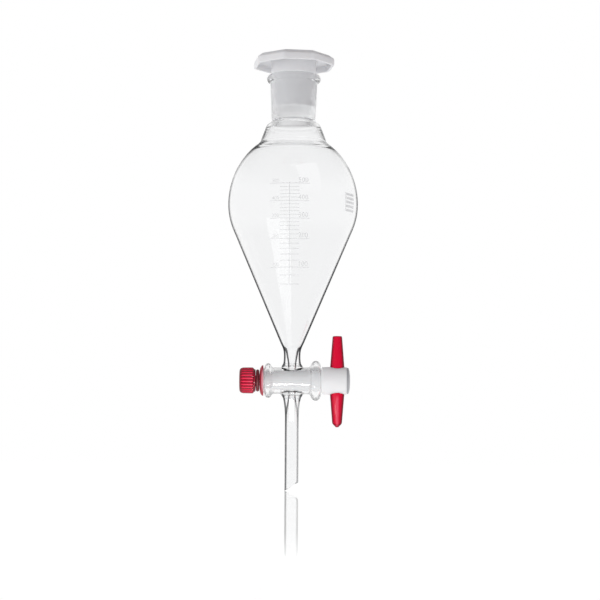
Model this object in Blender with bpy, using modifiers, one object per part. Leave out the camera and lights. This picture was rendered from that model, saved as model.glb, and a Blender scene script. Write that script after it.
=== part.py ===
"""A pear-shaped (Squibb) 500 ml separatory funnel with a PTFE-key stopcock and a hollow plastic stopper.

Metres, +Z up. The origin is on the funnel's axis, in the plane of the ring that carries it: the lower cone of the
bulb measures SUPPORT_RADIUS there. The stopcock's axis runs along X, with its nut at -X and its handle at +X.
"""

from math import asin, atan, cos, degrees, pi, radians, sin, sqrt, tan

import bmesh
import bpy

MM = 0.001
CLEARANCE = 0.3 * MM  # between pieces that rest on each other
RUNNING_CLEARANCE = 0.2 * MM  # radial, between the key and its barrel
ROUND_STEPS = 40
SMALL_STEPS = 32

# Bulb
SUPPORT_RADIUS = 40.0 * MM
BULB_RADIUS = 51.3 * MM
BULB_UPPER_HEIGHT = 57.1 * MM  # half height of the ellipse above the widest circle
CONE_ANGLE = radians(23.0)
BULB_WALL = 1.8 * MM
BULB_Z = BULB_RADIUS * sin(CONE_ANGLE) + (BULB_RADIUS * cos(CONE_ANGLE) - SUPPORT_RADIUS) / tan(CONE_ANGLE)
CONE_FOOT_Z = BULB_Z - 110.0 * MM  # where the cone turns into the inlet tube

# Neck with its ground socket, 29/32: 29.2 mm at the mouth, tapering 1 in 10 over 32 mm
RIM_Z = BULB_Z + 103.5 * MM
SOCKET_RADIUS = 14.6 * MM
SOCKET_DEPTH = 32.0 * MM
TAPER = 0.05  # radius lost for each unit of length, on the socket and on the stopcock
COLLAR_RADIUS = 21.4 * MM
COLLAR_HEIGHT = 5.9 * MM
NECK_TOP_RADIUS = 18.7 * MM
NECK_FOOT_RADIUS = 17.4 * MM
NECK_FOOT_Z = BULB_Z + 66.8 * MM
SHOULDER_RADIUS = 21.9 * MM
SHOULDER_Z = BULB_Z + 62.0 * MM
SEAM_RADIUS = 26.9 * MM  # where the flared neck is fused to the bulb
SEAM_Z = BULB_Z + BULB_UPPER_HEIGHT * sqrt(1 - (SEAM_RADIUS / BULB_RADIUS) ** 2)

# Stopcock barrel and the tubes that meet it
BARREL_Z = BULB_Z - 139.0 * MM
BARREL_LEFT = -21.6 * MM
BARREL_RIGHT = 22.7 * MM
BARREL_RADIUS = 10.45 * MM
LEFT_BEAD_WIDTH = 5.8 * MM
RIGHT_BEAD_WIDTH = 8.4 * MM
LEFT_BEAD_RADIUS = 13.8 * MM
RIGHT_BEAD_RADIUS = 15.7 * MM
KEY_MIDDLE_RADIUS = 7.8 * MM  # of the tapered key at the funnel's axis
KEY_BORE_RADIUS = 2.0 * MM
INLET_RADIUS = 6.45 * MM
FLARE_RADIUS = 9.2 * MM
STEM_RADIUS = 5.35 * MM
STEM_BORE_RADIUS = 3.8 * MM
TIP_Z = BULB_Z - 224.7 * MM
TIP_RISE = 6.6 * MM  # how much higher the bevelled tip ends on its +X side

# Key head, handle and nut
HEAD_RADIUS = 10.8 * MM
HEAD_LEFT = 23.3 * MM
HEAD_RIGHT = 42.7 * MM
CAP_RIGHT = 45.4 * MM
CAP_RADIUS = 10.3 * MM
CAP_SPIGOT_RADIUS = 3.4 * MM
HANDLE_X = 35.4 * MM
HANDLE_MIDDLE_RADIUS = 5.7 * MM
HANDLE_TIP_RADIUS = 3.7 * MM
HANDLE_TOP = 35.9 * MM
HANDLE_BOTTOM = 36.3 * MM
HANDLE_FLATNESS = 0.86  # thickness over width
THREAD_PITCH = 2.0 * MM
THREAD_ROOT_RADIUS = 3.9 * MM
THREAD_CREST_RADIUS = 4.8 * MM
THREAD_SLACK = 0.2 * MM  # along the axis, on each flank
THREAD_STEPS = 16  # facets in one turn of the thread
TAIL_TURNS = 15
NUT_TURNS = 10
TAIL_FLAT = 4.1 * MM  # half the distance between the two flats along the threaded tail
TAIL_END = -39.8 * MM
KEY_SMALL_END = -19.8 * MM
NUT_LEFT = -41.2 * MM
NUT_RIGHT = -28.6 * MM
NUT_RADIUS = 10.2 * MM
NUT_RIBS = 24
NUT_RIB_DEPTH = 0.7 * MM
RING_RADIUS = 7.4 * MM  # middle of the rubber ring's cord
RING_CORD_RADIUS = 1.25 * MM
FLANGE_RADIUS = 12.2 * MM
FLANGE_DISC_LEFT = -25.45 * MM
FLANGE_DISC_RIGHT = -23.65 * MM
FLANGE_RIM_RIGHT = -22.5 * MM
WASHER_RADIUS = 9.6 * MM
WASHER_THICKNESS = 1.2 * MM

# Stopper
STOPPER_HEAD_RADIUS = 33.2 * MM  # to the corners of the octagon
STOPPER_TOP_RADIUS = 28.4 * MM  # to the corners of the flat top
STOPPER_HEAD_Z = BULB_Z + 110.5 * MM
STOPPER_SIDE_HEIGHT = 5.1 * MM
STOPPER_BEVEL_HEIGHT = 3.3 * MM
STOPPER_TURN = radians(-14.0)
STOPPER_LIP = 2.2 * MM
STOPPER_RECESS = 4.8 * MM
STOPPER_SHOULDER_RADIUS = 17.9 * MM
STOPPER_LENGTH = 26.0 * MM  # below the rim
STOPPER_WALL = 2.6 * MM


def clear_scene():
    for obj in list(bpy.data.objects):
        bpy.data.objects.remove(obj)


def new_collection(name):
    collection = bpy.data.collections.new(name)
    bpy.context.scene.collection.children.link(collection)
    return collection


def material(name, colour, roughness, transmission=0.0):
    made = bpy.data.materials.new(name)
    made.use_nodes = True
    shader = made.node_tree.nodes["Principled BSDF"]
    shader.inputs["Base Color"].default_value = (*colour, 1.0)
    shader.inputs["Roughness"].default_value = roughness
    shader.inputs["Transmission Weight"].default_value = transmission
    made.diffuse_color = (*colour, 1.0)
    return made


def arc(centre, radii, start, end, count):
    """Points (r, z) on an ellipse about centre, from angle start to end in degrees, ends included."""
    angles = [radians(start + (end - start) * i / count) for i in range(count + 1)]
    return [(centre[0] + radii[0] * cos(a), centre[1] + radii[1] * sin(a)) for a in angles]


def turned(name, profile, collection, steps=ROUND_STEPS, along_x=False, x=0.0, z=0.0):
    """A solid turned about Z from points (r, z), listed down its outer side from axis to axis.

    With along_x it is turned about the line along X at height z, so that the profile's z is the solid's x.
    """
    mesh = bpy.data.meshes.new(name)
    points = [(r, 0.0, h) for r, h in profile]
    mesh.from_pydata(points, [(i, i + 1) for i in range(len(points) - 1)], [])
    obj = bpy.data.objects.new(name, mesh)
    collection.objects.link(obj)
    obj.location = (x, 0.0, z)
    if along_x:
        obj.rotation_euler = (0.0, pi / 2, 0.0)
    screw = obj.modifiers.new("Turn", "SCREW")
    screw.steps = screw.render_steps = steps
    screw.use_merge_vertices = True
    screw.merge_threshold = 0.00001
    screw.use_smooth_shade = True
    return obj


def as_cutter(obj):
    obj.hide_render = True
    obj.display_type = "WIRE"
    return obj


def boolean(obj, other, operation):
    modifier = obj.modifiers.new(operation.title(), "BOOLEAN")
    modifier.operation = operation
    modifier.object = other
    modifier.solver = "EXACT"


def finish_shading(obj, finish):
    obj.data.materials.clear()
    obj.data.materials.append(finish)


def offset_ellipse(wall, start, end, count):
    """The bulb's upper curve, moved in by wall, from angle start to end in degrees."""
    return arc((0.0, BULB_Z), (BULB_RADIUS - wall, BULB_UPPER_HEIGHT - wall), start, end, count)


def cone_radius(z, wall=0.0):
    """The bulb's lower cone at height z, or its inner face if wall is given."""
    return SUPPORT_RADIUS + z * tan(CONE_ANGLE) - wall / cos(CONE_ANGLE)


def glass_outline():
    """The outside of the glass, as if it were solid, without the stopcock barrel."""
    collar_z = RIM_Z - COLLAR_HEIGHT / 2
    collar_depth = COLLAR_RADIUS - NECK_TOP_RADIUS
    seam_angle = degrees(asin((SEAM_Z - BULB_Z) / BULB_UPPER_HEIGHT))
    neck_round = 2.0 * MM
    neck_bend = (NECK_FOOT_RADIUS + neck_round, NECK_FOOT_Z - neck_round)
    return [
        (0.0, RIM_Z),
        (NECK_TOP_RADIUS, RIM_Z),
        *arc((NECK_TOP_RADIUS, collar_z), (collar_depth, COLLAR_HEIGHT / 2), 75, -75, 8),
        (NECK_TOP_RADIUS, RIM_Z - COLLAR_HEIGHT - 0.6 * MM),
        (NECK_FOOT_RADIUS, NECK_FOOT_Z),
        *arc(neck_bend, (neck_round, -neck_round), 180, 240, 2)[1:],
        *arc((SHOULDER_RADIUS - neck_round, SHOULDER_Z), (neck_round, neck_round), 60, 0, 3),
        (SEAM_RADIUS - 0.6 * MM, SEAM_Z + 1.1 * MM),
        *offset_ellipse(0.0, seam_angle - 1.5, 0, 14),
        *arc((0.0, BULB_Z), (BULB_RADIUS, BULB_RADIUS), -6, -23, 4),
        (cone_radius(CONE_FOOT_Z), CONE_FOOT_Z),
        (INLET_RADIUS + 0.7 * MM, BULB_Z - 113.6 * MM),
        (INLET_RADIUS, BULB_Z - 117.5 * MM),
        (INLET_RADIUS, BARREL_Z + 16.5 * MM),
        (INLET_RADIUS + 0.6 * MM, BARREL_Z + 13.0 * MM),
        (FLARE_RADIUS, BARREL_Z + 10.2 * MM),
        (FLARE_RADIUS + 0.6 * MM, BARREL_Z - 10.2 * MM),
        (STEM_RADIUS + 1.8 * MM, BARREL_Z - 12.8 * MM),
        (STEM_RADIUS + 0.9 * MM, BARREL_Z - 17.0 * MM),
        (STEM_RADIUS + 0.3 * MM, BARREL_Z - 22.0 * MM),
        (STEM_RADIUS, BARREL_Z - 27.0 * MM),
        (STEM_RADIUS, TIP_Z),
        (0.0, TIP_Z),
    ]


def cavity_outline():
    """Everything that the glass holds: socket, bulb, inlet, and the bore of the stem."""
    socket_foot = SOCKET_RADIUS - TAPER * SOCKET_DEPTH
    socket_foot_z = RIM_Z - SOCKET_DEPTH
    inlet_z = BARREL_Z + 12.0 * MM
    beyond = 2.0 * MM
    return [
        (0.0, RIM_Z + beyond),
        (SOCKET_RADIUS + TAPER * beyond, RIM_Z + beyond),
        (socket_foot, socket_foot_z),
        (socket_foot + 0.5 * MM, socket_foot_z - 3.0 * MM),
        (SHOULDER_RADIUS - 2.5 * MM, SHOULDER_Z - 1.2 * MM),
        (SEAM_RADIUS - 2.8 * MM, SEAM_Z - 0.6 * MM),
        *offset_ellipse(BULB_WALL, 53, 0, 14),
        *arc((0.0, BULB_Z), (BULB_RADIUS - BULB_WALL, BULB_RADIUS - BULB_WALL), -6, -23, 4),
        (cone_radius(CONE_FOOT_Z, BULB_WALL), CONE_FOOT_Z),
        (KEY_BORE_RADIUS + 1.5 * MM, CONE_FOOT_Z - 5.0 * MM),
        (KEY_BORE_RADIUS + 0.1 * MM, inlet_z),
        (KEY_BORE_RADIUS, BARREL_Z - 13.0 * MM),
        (KEY_BORE_RADIUS + 0.5 * MM, BARREL_Z - 17.0 * MM),
        (STEM_BORE_RADIUS, BARREL_Z - 27.0 * MM),
        (STEM_BORE_RADIUS, TIP_Z - beyond),
        (0.0, TIP_Z - beyond),
    ]


def barrel_outline():
    """The stopcock barrel as a solid, from its right end to its left end, with a fused bead at each end."""
    right_bead = (RIGHT_BEAD_RADIUS - BARREL_RADIUS, RIGHT_BEAD_WIDTH / 2)
    left_bead = (LEFT_BEAD_RADIUS - BARREL_RADIUS, LEFT_BEAD_WIDTH / 2)
    right_bead_x = BARREL_RIGHT - RIGHT_BEAD_WIDTH / 2
    left_bead_x = BARREL_LEFT + LEFT_BEAD_WIDTH / 2
    return [
        (0.0, BARREL_RIGHT),
        (BARREL_RADIUS + 0.4 * MM, BARREL_RIGHT),
        *arc((BARREL_RADIUS, right_bead_x), right_bead, 70, -78, 8),
        (BARREL_RADIUS + 0.1 * MM, right_bead_x - 4.7 * MM),
        (BARREL_RADIUS - 0.2 * MM, left_bead_x + 3.2 * MM),
        *arc((BARREL_RADIUS - 0.2 * MM, left_bead_x), left_bead, 75, -70, 7),
        (BARREL_RADIUS - 0.2 * MM, BARREL_LEFT),
        (0.0, BARREL_LEFT),
    ]


def key_radius(x, clearance=0.0):
    return KEY_MIDDLE_RADIUS + TAPER * x + clearance


def build_glass_body(parts, helpers):
    body = turned("glass_body", glass_outline(), parts)
    barrel = as_cutter(turned("barrel_solid", barrel_outline(), helpers, along_x=True, z=BARREL_Z))
    boolean(body, barrel, "UNION")
    boolean(body, as_cutter(turned("cavity", cavity_outline(), helpers)), "DIFFERENCE")
    left, right = BARREL_LEFT - 2 * MM, BARREL_RIGHT + 2 * MM
    bore = [
        (0.0, right),
        (key_radius(right, RUNNING_CLEARANCE), right),
        (key_radius(left, RUNNING_CLEARANCE), left),
        (0.0, left),
    ]
    cutter = turned("key_bore", bore, helpers, ROUND_STEPS, along_x=True, z=BARREL_Z)
    boolean(body, as_cutter(cutter), "DIFFERENCE")
    boolean(body, tip_cutter(helpers), "DIFFERENCE")
    finish_shading(body, material("clear_glass", (0.93, 0.95, 0.95), 0.02, 1.0))
    return body


def tip_cutter(helpers):
    """A block under the stem whose slanting top bevels the tip, lowest on its -X side."""
    mesh = bpy.data.meshes.new("tip_cutter")
    block = bmesh.new()
    bmesh.ops.create_cube(block, size=1.0)
    for vertex in block.verts:
        vertex.co.z -= 0.5
    block.to_mesh(mesh)
    block.free()
    obj = bpy.data.objects.new("tip_cutter", mesh)
    helpers.objects.link(obj)
    obj.scale = (40 * MM, 40 * MM, 12 * MM)
    slope = TIP_RISE / (2 * STEM_RADIUS)
    obj.rotation_euler = (0.0, -atan(slope), 0.0)
    obj.location = (-STEM_RADIUS + 0.4 * MM, 0.0, TIP_Z + 0.4 * MM * slope)
    return as_cutter(obj)


def thread_profile(clearance, slack):
    """One pitch of the thread's outline as (r, z). A hole's thread has a clearance and some slack."""
    root, crest = THREAD_ROOT_RADIUS + clearance, THREAD_CREST_RADIUS + clearance
    return [
        (root, slack),
        (root, 0.3 * THREAD_PITCH - slack),
        (crest, 0.5 * THREAD_PITCH - slack),
        (crest, 0.8 * THREAD_PITCH + slack),
        (root, THREAD_PITCH + slack),
    ]


def threaded_rod(name, start, turns, helpers, clearance=0.0, slack=0.0):
    """A closed right-handed threaded rod along X at the stopcock's axis. It starts at x = start."""
    mesh = bpy.data.meshes.new(name)
    points = [(r, 0.0, z) for r, z in thread_profile(clearance, slack)]
    mesh.from_pydata(points, [(i, i + 1) for i in range(len(points) - 1)], [])
    wire = bpy.data.objects.new(name + "_wire", mesh)
    helpers.objects.link(wire)
    screw = wire.modifiers.new("Helix", "SCREW")
    screw.steps = screw.render_steps = THREAD_STEPS
    screw.screw_offset = THREAD_PITCH
    screw.iterations = turns
    bpy.context.view_layer.update()
    graph = bpy.context.evaluated_depsgraph_get()
    rod_mesh = bpy.data.meshes.new_from_object(wire.evaluated_get(graph))
    bpy.data.objects.remove(wire)
    shape = bmesh.new()
    shape.from_mesh(rod_mesh)
    bmesh.ops.remove_doubles(shape, verts=shape.verts, dist=0.00001)
    length = turns * THREAD_PITCH
    for tip_z, low in ((-THREAD_PITCH, True), (length + 2 * THREAD_PITCH, False)):
        tip = shape.verts.new((0.0, 0.0, tip_z))
        ends = [e for e in shape.edges if e.is_boundary]
        ends = [e for e in ends if (sum(v.co.z for v in e.verts) / 2 < length / 2) == low]
        for edge in ends:
            shape.faces.new((edge.verts[0], edge.verts[1], tip))
    bmesh.ops.recalc_face_normals(shape, faces=shape.faces)
    shape.to_mesh(rod_mesh)
    shape.free()
    rod = bpy.data.objects.new(name, rod_mesh)
    helpers.objects.link(rod)
    rod.location = (start, 0.0, BARREL_Z)
    rod.rotation_euler = (0.0, pi / 2, 0.0)
    return as_cutter(rod)


def box(name, low, high, helpers):
    mesh = bpy.data.meshes.new(name)
    block = bmesh.new()
    bmesh.ops.create_cube(block, size=1.0)
    block.to_mesh(mesh)
    block.free()
    obj = bpy.data.objects.new(name, mesh)
    helpers.objects.link(obj)
    obj.scale = [b - a for a, b in zip(low, high)]
    obj.location = [(a + b) / 2 for a, b in zip(low, high)]
    return as_cutter(obj)


def build_key(parts, helpers):
    """The tapered PTFE key: head, cone with its cross bore, and a threaded tail with two flats."""
    thread_start = TAIL_END - 3 * THREAD_PITCH
    rod = threaded_rod("tail_thread", thread_start, TAIL_TURNS, helpers)
    tail = turned(
        "tail_envelope",
        [
            (0.0, KEY_SMALL_END + 3 * MM),
            (THREAD_CREST_RADIUS + 1 * MM, KEY_SMALL_END + 3 * MM),
            (THREAD_CREST_RADIUS + 1 * MM, TAIL_END + 1.2 * MM),
            (THREAD_ROOT_RADIUS - 0.3 * MM, TAIL_END),
            (0.0, TAIL_END),
        ],
        helpers,
        SMALL_STEPS,
        along_x=True,
        z=BARREL_Z,
    )
    boolean(rod, as_cutter(tail), "INTERSECT")
    reach = 6 * MM
    for side, name in ((1, "tail_flat_back"), (-1, "tail_flat_front")):
        ys = sorted((side * TAIL_FLAT, side * (TAIL_FLAT + reach)))
        low = (TAIL_END - reach, ys[0], BARREL_Z - reach)
        high = (KEY_SMALL_END - CLEARANCE, ys[1], BARREL_Z + reach)
        boolean(rod, box(name, low, high, helpers), "DIFFERENCE")

    neck = 0.8 * MM
    profile = [
        (0.0, HEAD_RIGHT),
        (HEAD_RADIUS - 0.3 * MM, HEAD_RIGHT),
        (HEAD_RADIUS, HEAD_RIGHT - 0.4 * MM),
        (HEAD_RADIUS, HEAD_LEFT + neck),
        (HEAD_RADIUS - neck, HEAD_LEFT),
        (key_radius(BARREL_RIGHT), HEAD_LEFT),
        (key_radius(BARREL_RIGHT), BARREL_RIGHT),
        (key_radius(KEY_SMALL_END + 0.6 * MM), KEY_SMALL_END + 0.6 * MM),
        (key_radius(KEY_SMALL_END) - 0.5 * MM, KEY_SMALL_END),
        (0.0, KEY_SMALL_END),
    ]
    key = turned("stopcock_plug", profile, parts, ROUND_STEPS, along_x=True, z=BARREL_Z)
    boolean(key, rod, "UNION")
    cross = [(0.0, 20 * MM), (KEY_BORE_RADIUS, 20 * MM), (KEY_BORE_RADIUS, -20 * MM), (0.0, -20 * MM)]
    boolean(key, as_cutter(turned("cross_bore", cross, helpers, 24, z=BARREL_Z)), "DIFFERENCE")
    width = HANDLE_MIDDLE_RADIUS + CLEARANCE
    slot = turned(
        "handle_hole",
        [(0.0, 20 * MM), (width, 20 * MM), (width, -20 * MM), (0.0, -20 * MM)],
        helpers,
        SMALL_STEPS,
        x=HANDLE_X,
        z=BARREL_Z,
    )
    slot.scale = (1.0, (HANDLE_MIDDLE_RADIUS * HANDLE_FLATNESS + CLEARANCE) / width, 1.0)
    boolean(key, as_cutter(slot), "DIFFERENCE")
    spigot = CAP_SPIGOT_RADIUS + CLEARANCE
    hole = [(0.0, HEAD_RIGHT + 5 * MM), (spigot, HEAD_RIGHT + 5 * MM), (spigot, HANDLE_X), (0.0, HANDLE_X)]
    cutter = turned("spigot_hole", hole, helpers, 24, along_x=True, z=BARREL_Z)
    boolean(key, as_cutter(cutter), "DIFFERENCE")
    finish_shading(key, material("ptfe", (0.92, 0.92, 0.93), 0.4))
    return key


def build_end_cap(parts):
    """The cap that closes the key's head. Its spigot holds the handle."""
    left = HEAD_RIGHT + CLEARANCE
    cap = turned(
        "head_end_cap",
        [
            (0.0, CAP_RIGHT),
            (CAP_RADIUS - 6.3 * MM, CAP_RIGHT - 0.1 * MM),
            (CAP_RADIUS - 2.8 * MM, CAP_RIGHT - 0.45 * MM),
            (CAP_RADIUS - 0.7 * MM, CAP_RIGHT - 1.0 * MM),
            (CAP_RADIUS, CAP_RIGHT - 1.5 * MM),
            (CAP_RADIUS, left),
            (CAP_SPIGOT_RADIUS, left),
            (CAP_SPIGOT_RADIUS, HANDLE_X + HANDLE_MIDDLE_RADIUS + CLEARANCE),
            (0.0, HANDLE_X + HANDLE_MIDDLE_RADIUS + CLEARANCE),
        ],
        parts,
        SMALL_STEPS,
        along_x=True,
        z=BARREL_Z,
    )
    finish_shading(cap, material("cap_plastic", (0.62, 0.62, 0.64), 0.35))


def build_handle(parts):
    """One bar through the head, widest in the middle. Its lower arm ends in a point."""
    arm_foot = HANDLE_MIDDLE_RADIUS - 0.1 * MM
    handle = turned(
        "handle",
        [
            (0.0, HANDLE_TOP),
            (HANDLE_TIP_RADIUS - 0.5 * MM, HANDLE_TOP),
            (HANDLE_TIP_RADIUS, HANDLE_TOP - 0.6 * MM),
            (arm_foot, HEAD_RADIUS),
            (HANDLE_MIDDLE_RADIUS, 0.0),
            (arm_foot, -HEAD_RADIUS),
            (HANDLE_TIP_RADIUS, 2.8 * MM - HANDLE_BOTTOM),
            (0.8 * MM, -HANDLE_BOTTOM),
            (0.0, -HANDLE_BOTTOM),
        ],
        parts,
        SMALL_STEPS,
        x=HANDLE_X,
        z=BARREL_Z,
    )
    handle.scale = (1.0, HANDLE_FLATNESS, 1.0)
    finish_shading(handle, material("red_plastic", (0.72, 0.02, 0.07), 0.3))


def disc_with_flats(name, profile, parts, helpers):
    """A washer turned about the stopcock's axis, with a hole that fits the tail and its two flats."""
    disc = turned(name, profile, parts, SMALL_STEPS, along_x=True, z=BARREL_Z)
    radius = THREAD_CREST_RADIUS + CLEARANCE
    ends = (BARREL_LEFT, FLANGE_DISC_LEFT - 3 * MM)
    hole = turned(
        name + "_hole",
        [(0.0, ends[0]), (radius, ends[0]), (radius, ends[1]), (0.0, ends[1])],
        helpers,
        24,
        along_x=True,
        z=BARREL_Z,
    )
    flat = TAIL_FLAT + CLEARANCE
    low = (ends[1] - 1 * MM, -flat, BARREL_Z - 10 * MM)
    high = (ends[0] + 1 * MM, flat, BARREL_Z + 10 * MM)
    boolean(hole, box(name + "_hole_flats", low, high, helpers), "INTERSECT")
    boolean(disc, as_cutter(hole), "DIFFERENCE")
    return disc


def build_washers(parts, helpers):
    right = BARREL_LEFT - CLEARANCE
    left = right - WASHER_THICKNESS
    profile = [(0.0, right), (WASHER_RADIUS, right), (WASHER_RADIUS, left), (0.0, left)]
    washer = disc_with_flats("thrust_washer", profile, parts, helpers)
    finish_shading(washer, material("washer_ptfe", (0.93, 0.92, 0.92), 0.4))

    skirt = 1.3 * MM
    profile = [
        (0.0, FLANGE_DISC_RIGHT),
        (WASHER_RADIUS - 0.2 * MM, FLANGE_DISC_RIGHT),
        (FLANGE_RADIUS - skirt, FLANGE_RIM_RIGHT),
        (FLANGE_RADIUS, FLANGE_RIM_RIGHT),
        (FLANGE_RADIUS - 0.4 * MM, FLANGE_RIM_RIGHT - 1.2 * MM),
        (WASHER_RADIUS, FLANGE_DISC_LEFT + 0.4 * MM),
        (WASHER_RADIUS - 1.2 * MM, FLANGE_DISC_LEFT),
        (0.0, FLANGE_DISC_LEFT),
    ]
    flange = disc_with_flats("tension_flange", profile, parts, helpers)
    finish_shading(flange, material("red_flange_plastic", (0.60, 0.02, 0.06), 0.3))


def build_sealing_ring(parts):
    """A rubber ring squeezed between the nut and the flange."""
    mesh = bpy.data.meshes.new("sealing_ring")
    x = FLANGE_DISC_LEFT - CLEARANCE - RING_CORD_RADIUS
    section = arc((RING_RADIUS, x), (RING_CORD_RADIUS, RING_CORD_RADIUS), 180, -180, 12)[:-1]
    count = len(section)
    points = [(r, 0.0, h) for r, h in section]
    mesh.from_pydata(points, [(i, (i + 1) % count) for i in range(count)], [])
    ring = bpy.data.objects.new("sealing_ring", mesh)
    parts.objects.link(ring)
    ring.location = (0.0, 0.0, BARREL_Z)
    ring.rotation_euler = (0.0, pi / 2, 0.0)
    screw = ring.modifiers.new("Turn", "SCREW")
    screw.steps = screw.render_steps = SMALL_STEPS
    screw.use_merge_vertices = True
    screw.merge_threshold = 0.00001
    finish_shading(ring, material("dark_red_rubber", (0.25, 0.01, 0.02), 0.6))


def build_nut(parts, helpers):
    """A ribbed nut: a ribbed prism trimmed to a rounded envelope, with a threaded hole right through."""
    outline = bpy.data.curves.new("nut_outline", "CURVE")
    outline.dimensions = "2D"
    outline.fill_mode = "BOTH"
    length = NUT_RIGHT - NUT_LEFT
    outline.extrude = length / 2 + 1 * MM
    per_rib = 4
    count = NUT_RIBS * per_rib
    spline = outline.splines.new("POLY")
    spline.points.add(count - 1)
    for i, point in enumerate(spline.points):
        angle = 2 * pi * i / count
        radius = NUT_RADIUS - (NUT_RIB_DEPTH if i % per_rib in (0, 1) else 0.0)
        point.co = (radius * cos(angle), radius * sin(angle), 0.0, 1.0)
    spline.use_cyclic_u = True
    prism = bpy.data.objects.new("nut_prism", outline)
    helpers.objects.link(prism)
    prism.location = ((NUT_LEFT + NUT_RIGHT) / 2, 0.0, BARREL_Z)
    prism.rotation_euler = (0.0, pi / 2, 0.0)
    bpy.context.view_layer.update()
    graph = bpy.context.evaluated_depsgraph_get()
    mesh = bpy.data.meshes.new_from_object(prism.evaluated_get(graph))
    shape = bmesh.new()
    shape.from_mesh(mesh)
    bmesh.ops.remove_doubles(shape, verts=shape.verts, dist=0.00001)
    bmesh.ops.recalc_face_normals(shape, faces=shape.faces)
    shape.to_mesh(mesh)
    shape.free()
    nut = bpy.data.objects.new("retaining_nut", mesh)
    nut.matrix_world = prism.matrix_world.copy()
    parts.objects.link(nut)
    bpy.data.objects.remove(prism)

    waist = NUT_RADIUS - NUT_RIB_DEPTH - 0.6 * MM
    envelope = turned(
        "nut_envelope",
        [
            (0.0, NUT_RIGHT),
            (waist, NUT_RIGHT),
            (waist, NUT_RIGHT - 0.8 * MM),
            (NUT_RADIUS + 0.3 * MM, NUT_RIGHT - 2.2 * MM),
            (NUT_RADIUS + 0.1 * MM, NUT_LEFT + 2.2 * MM),
            (NUT_RADIUS - 0.9 * MM, NUT_LEFT + 0.7 * MM),
            (NUT_RADIUS - 2.0 * MM, NUT_LEFT),
            (0.0, NUT_LEFT),
        ],
        helpers,
        SMALL_STEPS,
        along_x=True,
        z=BARREL_Z,
    )
    boolean(nut, as_cutter(envelope), "INTERSECT")
    thread_start = TAIL_END - 3 * THREAD_PITCH
    thread = threaded_rod("nut_thread", thread_start, NUT_TURNS, helpers, CLEARANCE, THREAD_SLACK)
    boolean(nut, thread, "DIFFERENCE")
    finish_shading(nut, material("red_nut_plastic", (0.72, 0.02, 0.07), 0.3))


def build_stopper(parts, helpers):
    """A hollow stopper: an octagonal, bevelled head with a recess under it, a shoulder and a tapered plug."""
    side_top = STOPPER_HEAD_Z + STOPPER_SIDE_HEIGHT
    top = side_top + STOPPER_BEVEL_HEIGHT
    head = turned(
        "stopper",
        [
            (0.0, top),
            (STOPPER_TOP_RADIUS, top),
            (STOPPER_HEAD_RADIUS, side_top),
            (STOPPER_HEAD_RADIUS, STOPPER_HEAD_Z),
            (STOPPER_HEAD_RADIUS - STOPPER_LIP, STOPPER_HEAD_Z),
            (STOPPER_HEAD_RADIUS - STOPPER_LIP, STOPPER_HEAD_Z + STOPPER_RECESS),
            (0.0, STOPPER_HEAD_Z + STOPPER_RECESS),
        ],
        parts,
        8,
    )
    head.rotation_euler = (0.0, 0.0, STOPPER_TURN)
    plug_top = SOCKET_RADIUS - CLEARANCE
    foot_z = RIM_Z - STOPPER_LENGTH
    foot = plug_top - TAPER * STOPPER_LENGTH
    inside_z = STOPPER_HEAD_Z
    plug = turned(
        "stopper_plug",
        [
            (0.0, STOPPER_HEAD_Z + STOPPER_RECESS + 1 * MM),
            (STOPPER_SHOULDER_RADIUS, STOPPER_HEAD_Z + STOPPER_RECESS + 1 * MM),
            (STOPPER_SHOULDER_RADIUS, RIM_Z + CLEARANCE + 0.8 * MM),
            (STOPPER_SHOULDER_RADIUS - 0.8 * MM, RIM_Z + CLEARANCE),
            (plug_top, RIM_Z + CLEARANCE),
            (foot + TAPER * 0.8 * MM, foot_z + 0.8 * MM),
            (foot - 0.8 * MM, foot_z),
            (0.0, foot_z),
        ],
        helpers,
    )
    boolean(head, as_cutter(plug), "UNION")
    hollow = turned(
        "stopper_hollow",
        [
            (0.0, inside_z),
            (plug_top - STOPPER_WALL - 1.5 * MM, inside_z),
            (plug_top - STOPPER_WALL, inside_z - 1.5 * MM),
            (foot - STOPPER_WALL + 0.3 * MM, foot_z - 2 * MM),
            (0.0, foot_z - 2 * MM),
        ],
        helpers,
    )
    boolean(head, as_cutter(hollow), "DIFFERENCE")
    finish_shading(head, material("white_plastic", (0.85, 0.85, 0.86), 0.35))


def main():
    clear_scene()
    parts = new_collection("separatory_funnel")
    helpers = new_collection("cutters")
    build_glass_body(parts, helpers)
    build_stopper(parts, helpers)
    build_key(parts, helpers)
    build_handle(parts)
    build_end_cap(parts)
    build_washers(parts, helpers)
    build_sealing_ring(parts)
    build_nut(parts, helpers)


main()
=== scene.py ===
"""A pear-shaped separatory funnel standing on its stem on a pale glossy floor, under soft studio light.

Metres, +Z up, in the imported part's own frame: the funnel's axis is Z and the stopcock's axis runs along X.
"""

from math import asin, atan, cos, degrees, pi, radians, sin, sqrt, tan

import bmesh
import bpy
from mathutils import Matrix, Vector


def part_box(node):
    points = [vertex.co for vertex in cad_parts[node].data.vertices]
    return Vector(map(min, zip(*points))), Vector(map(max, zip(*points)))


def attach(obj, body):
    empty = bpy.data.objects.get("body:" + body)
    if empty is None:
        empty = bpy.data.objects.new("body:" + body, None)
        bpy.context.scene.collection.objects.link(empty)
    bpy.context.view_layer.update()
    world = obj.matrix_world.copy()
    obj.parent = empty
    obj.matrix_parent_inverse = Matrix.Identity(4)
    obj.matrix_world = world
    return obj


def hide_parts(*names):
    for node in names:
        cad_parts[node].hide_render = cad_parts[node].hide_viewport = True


MM = 0.001

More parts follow.
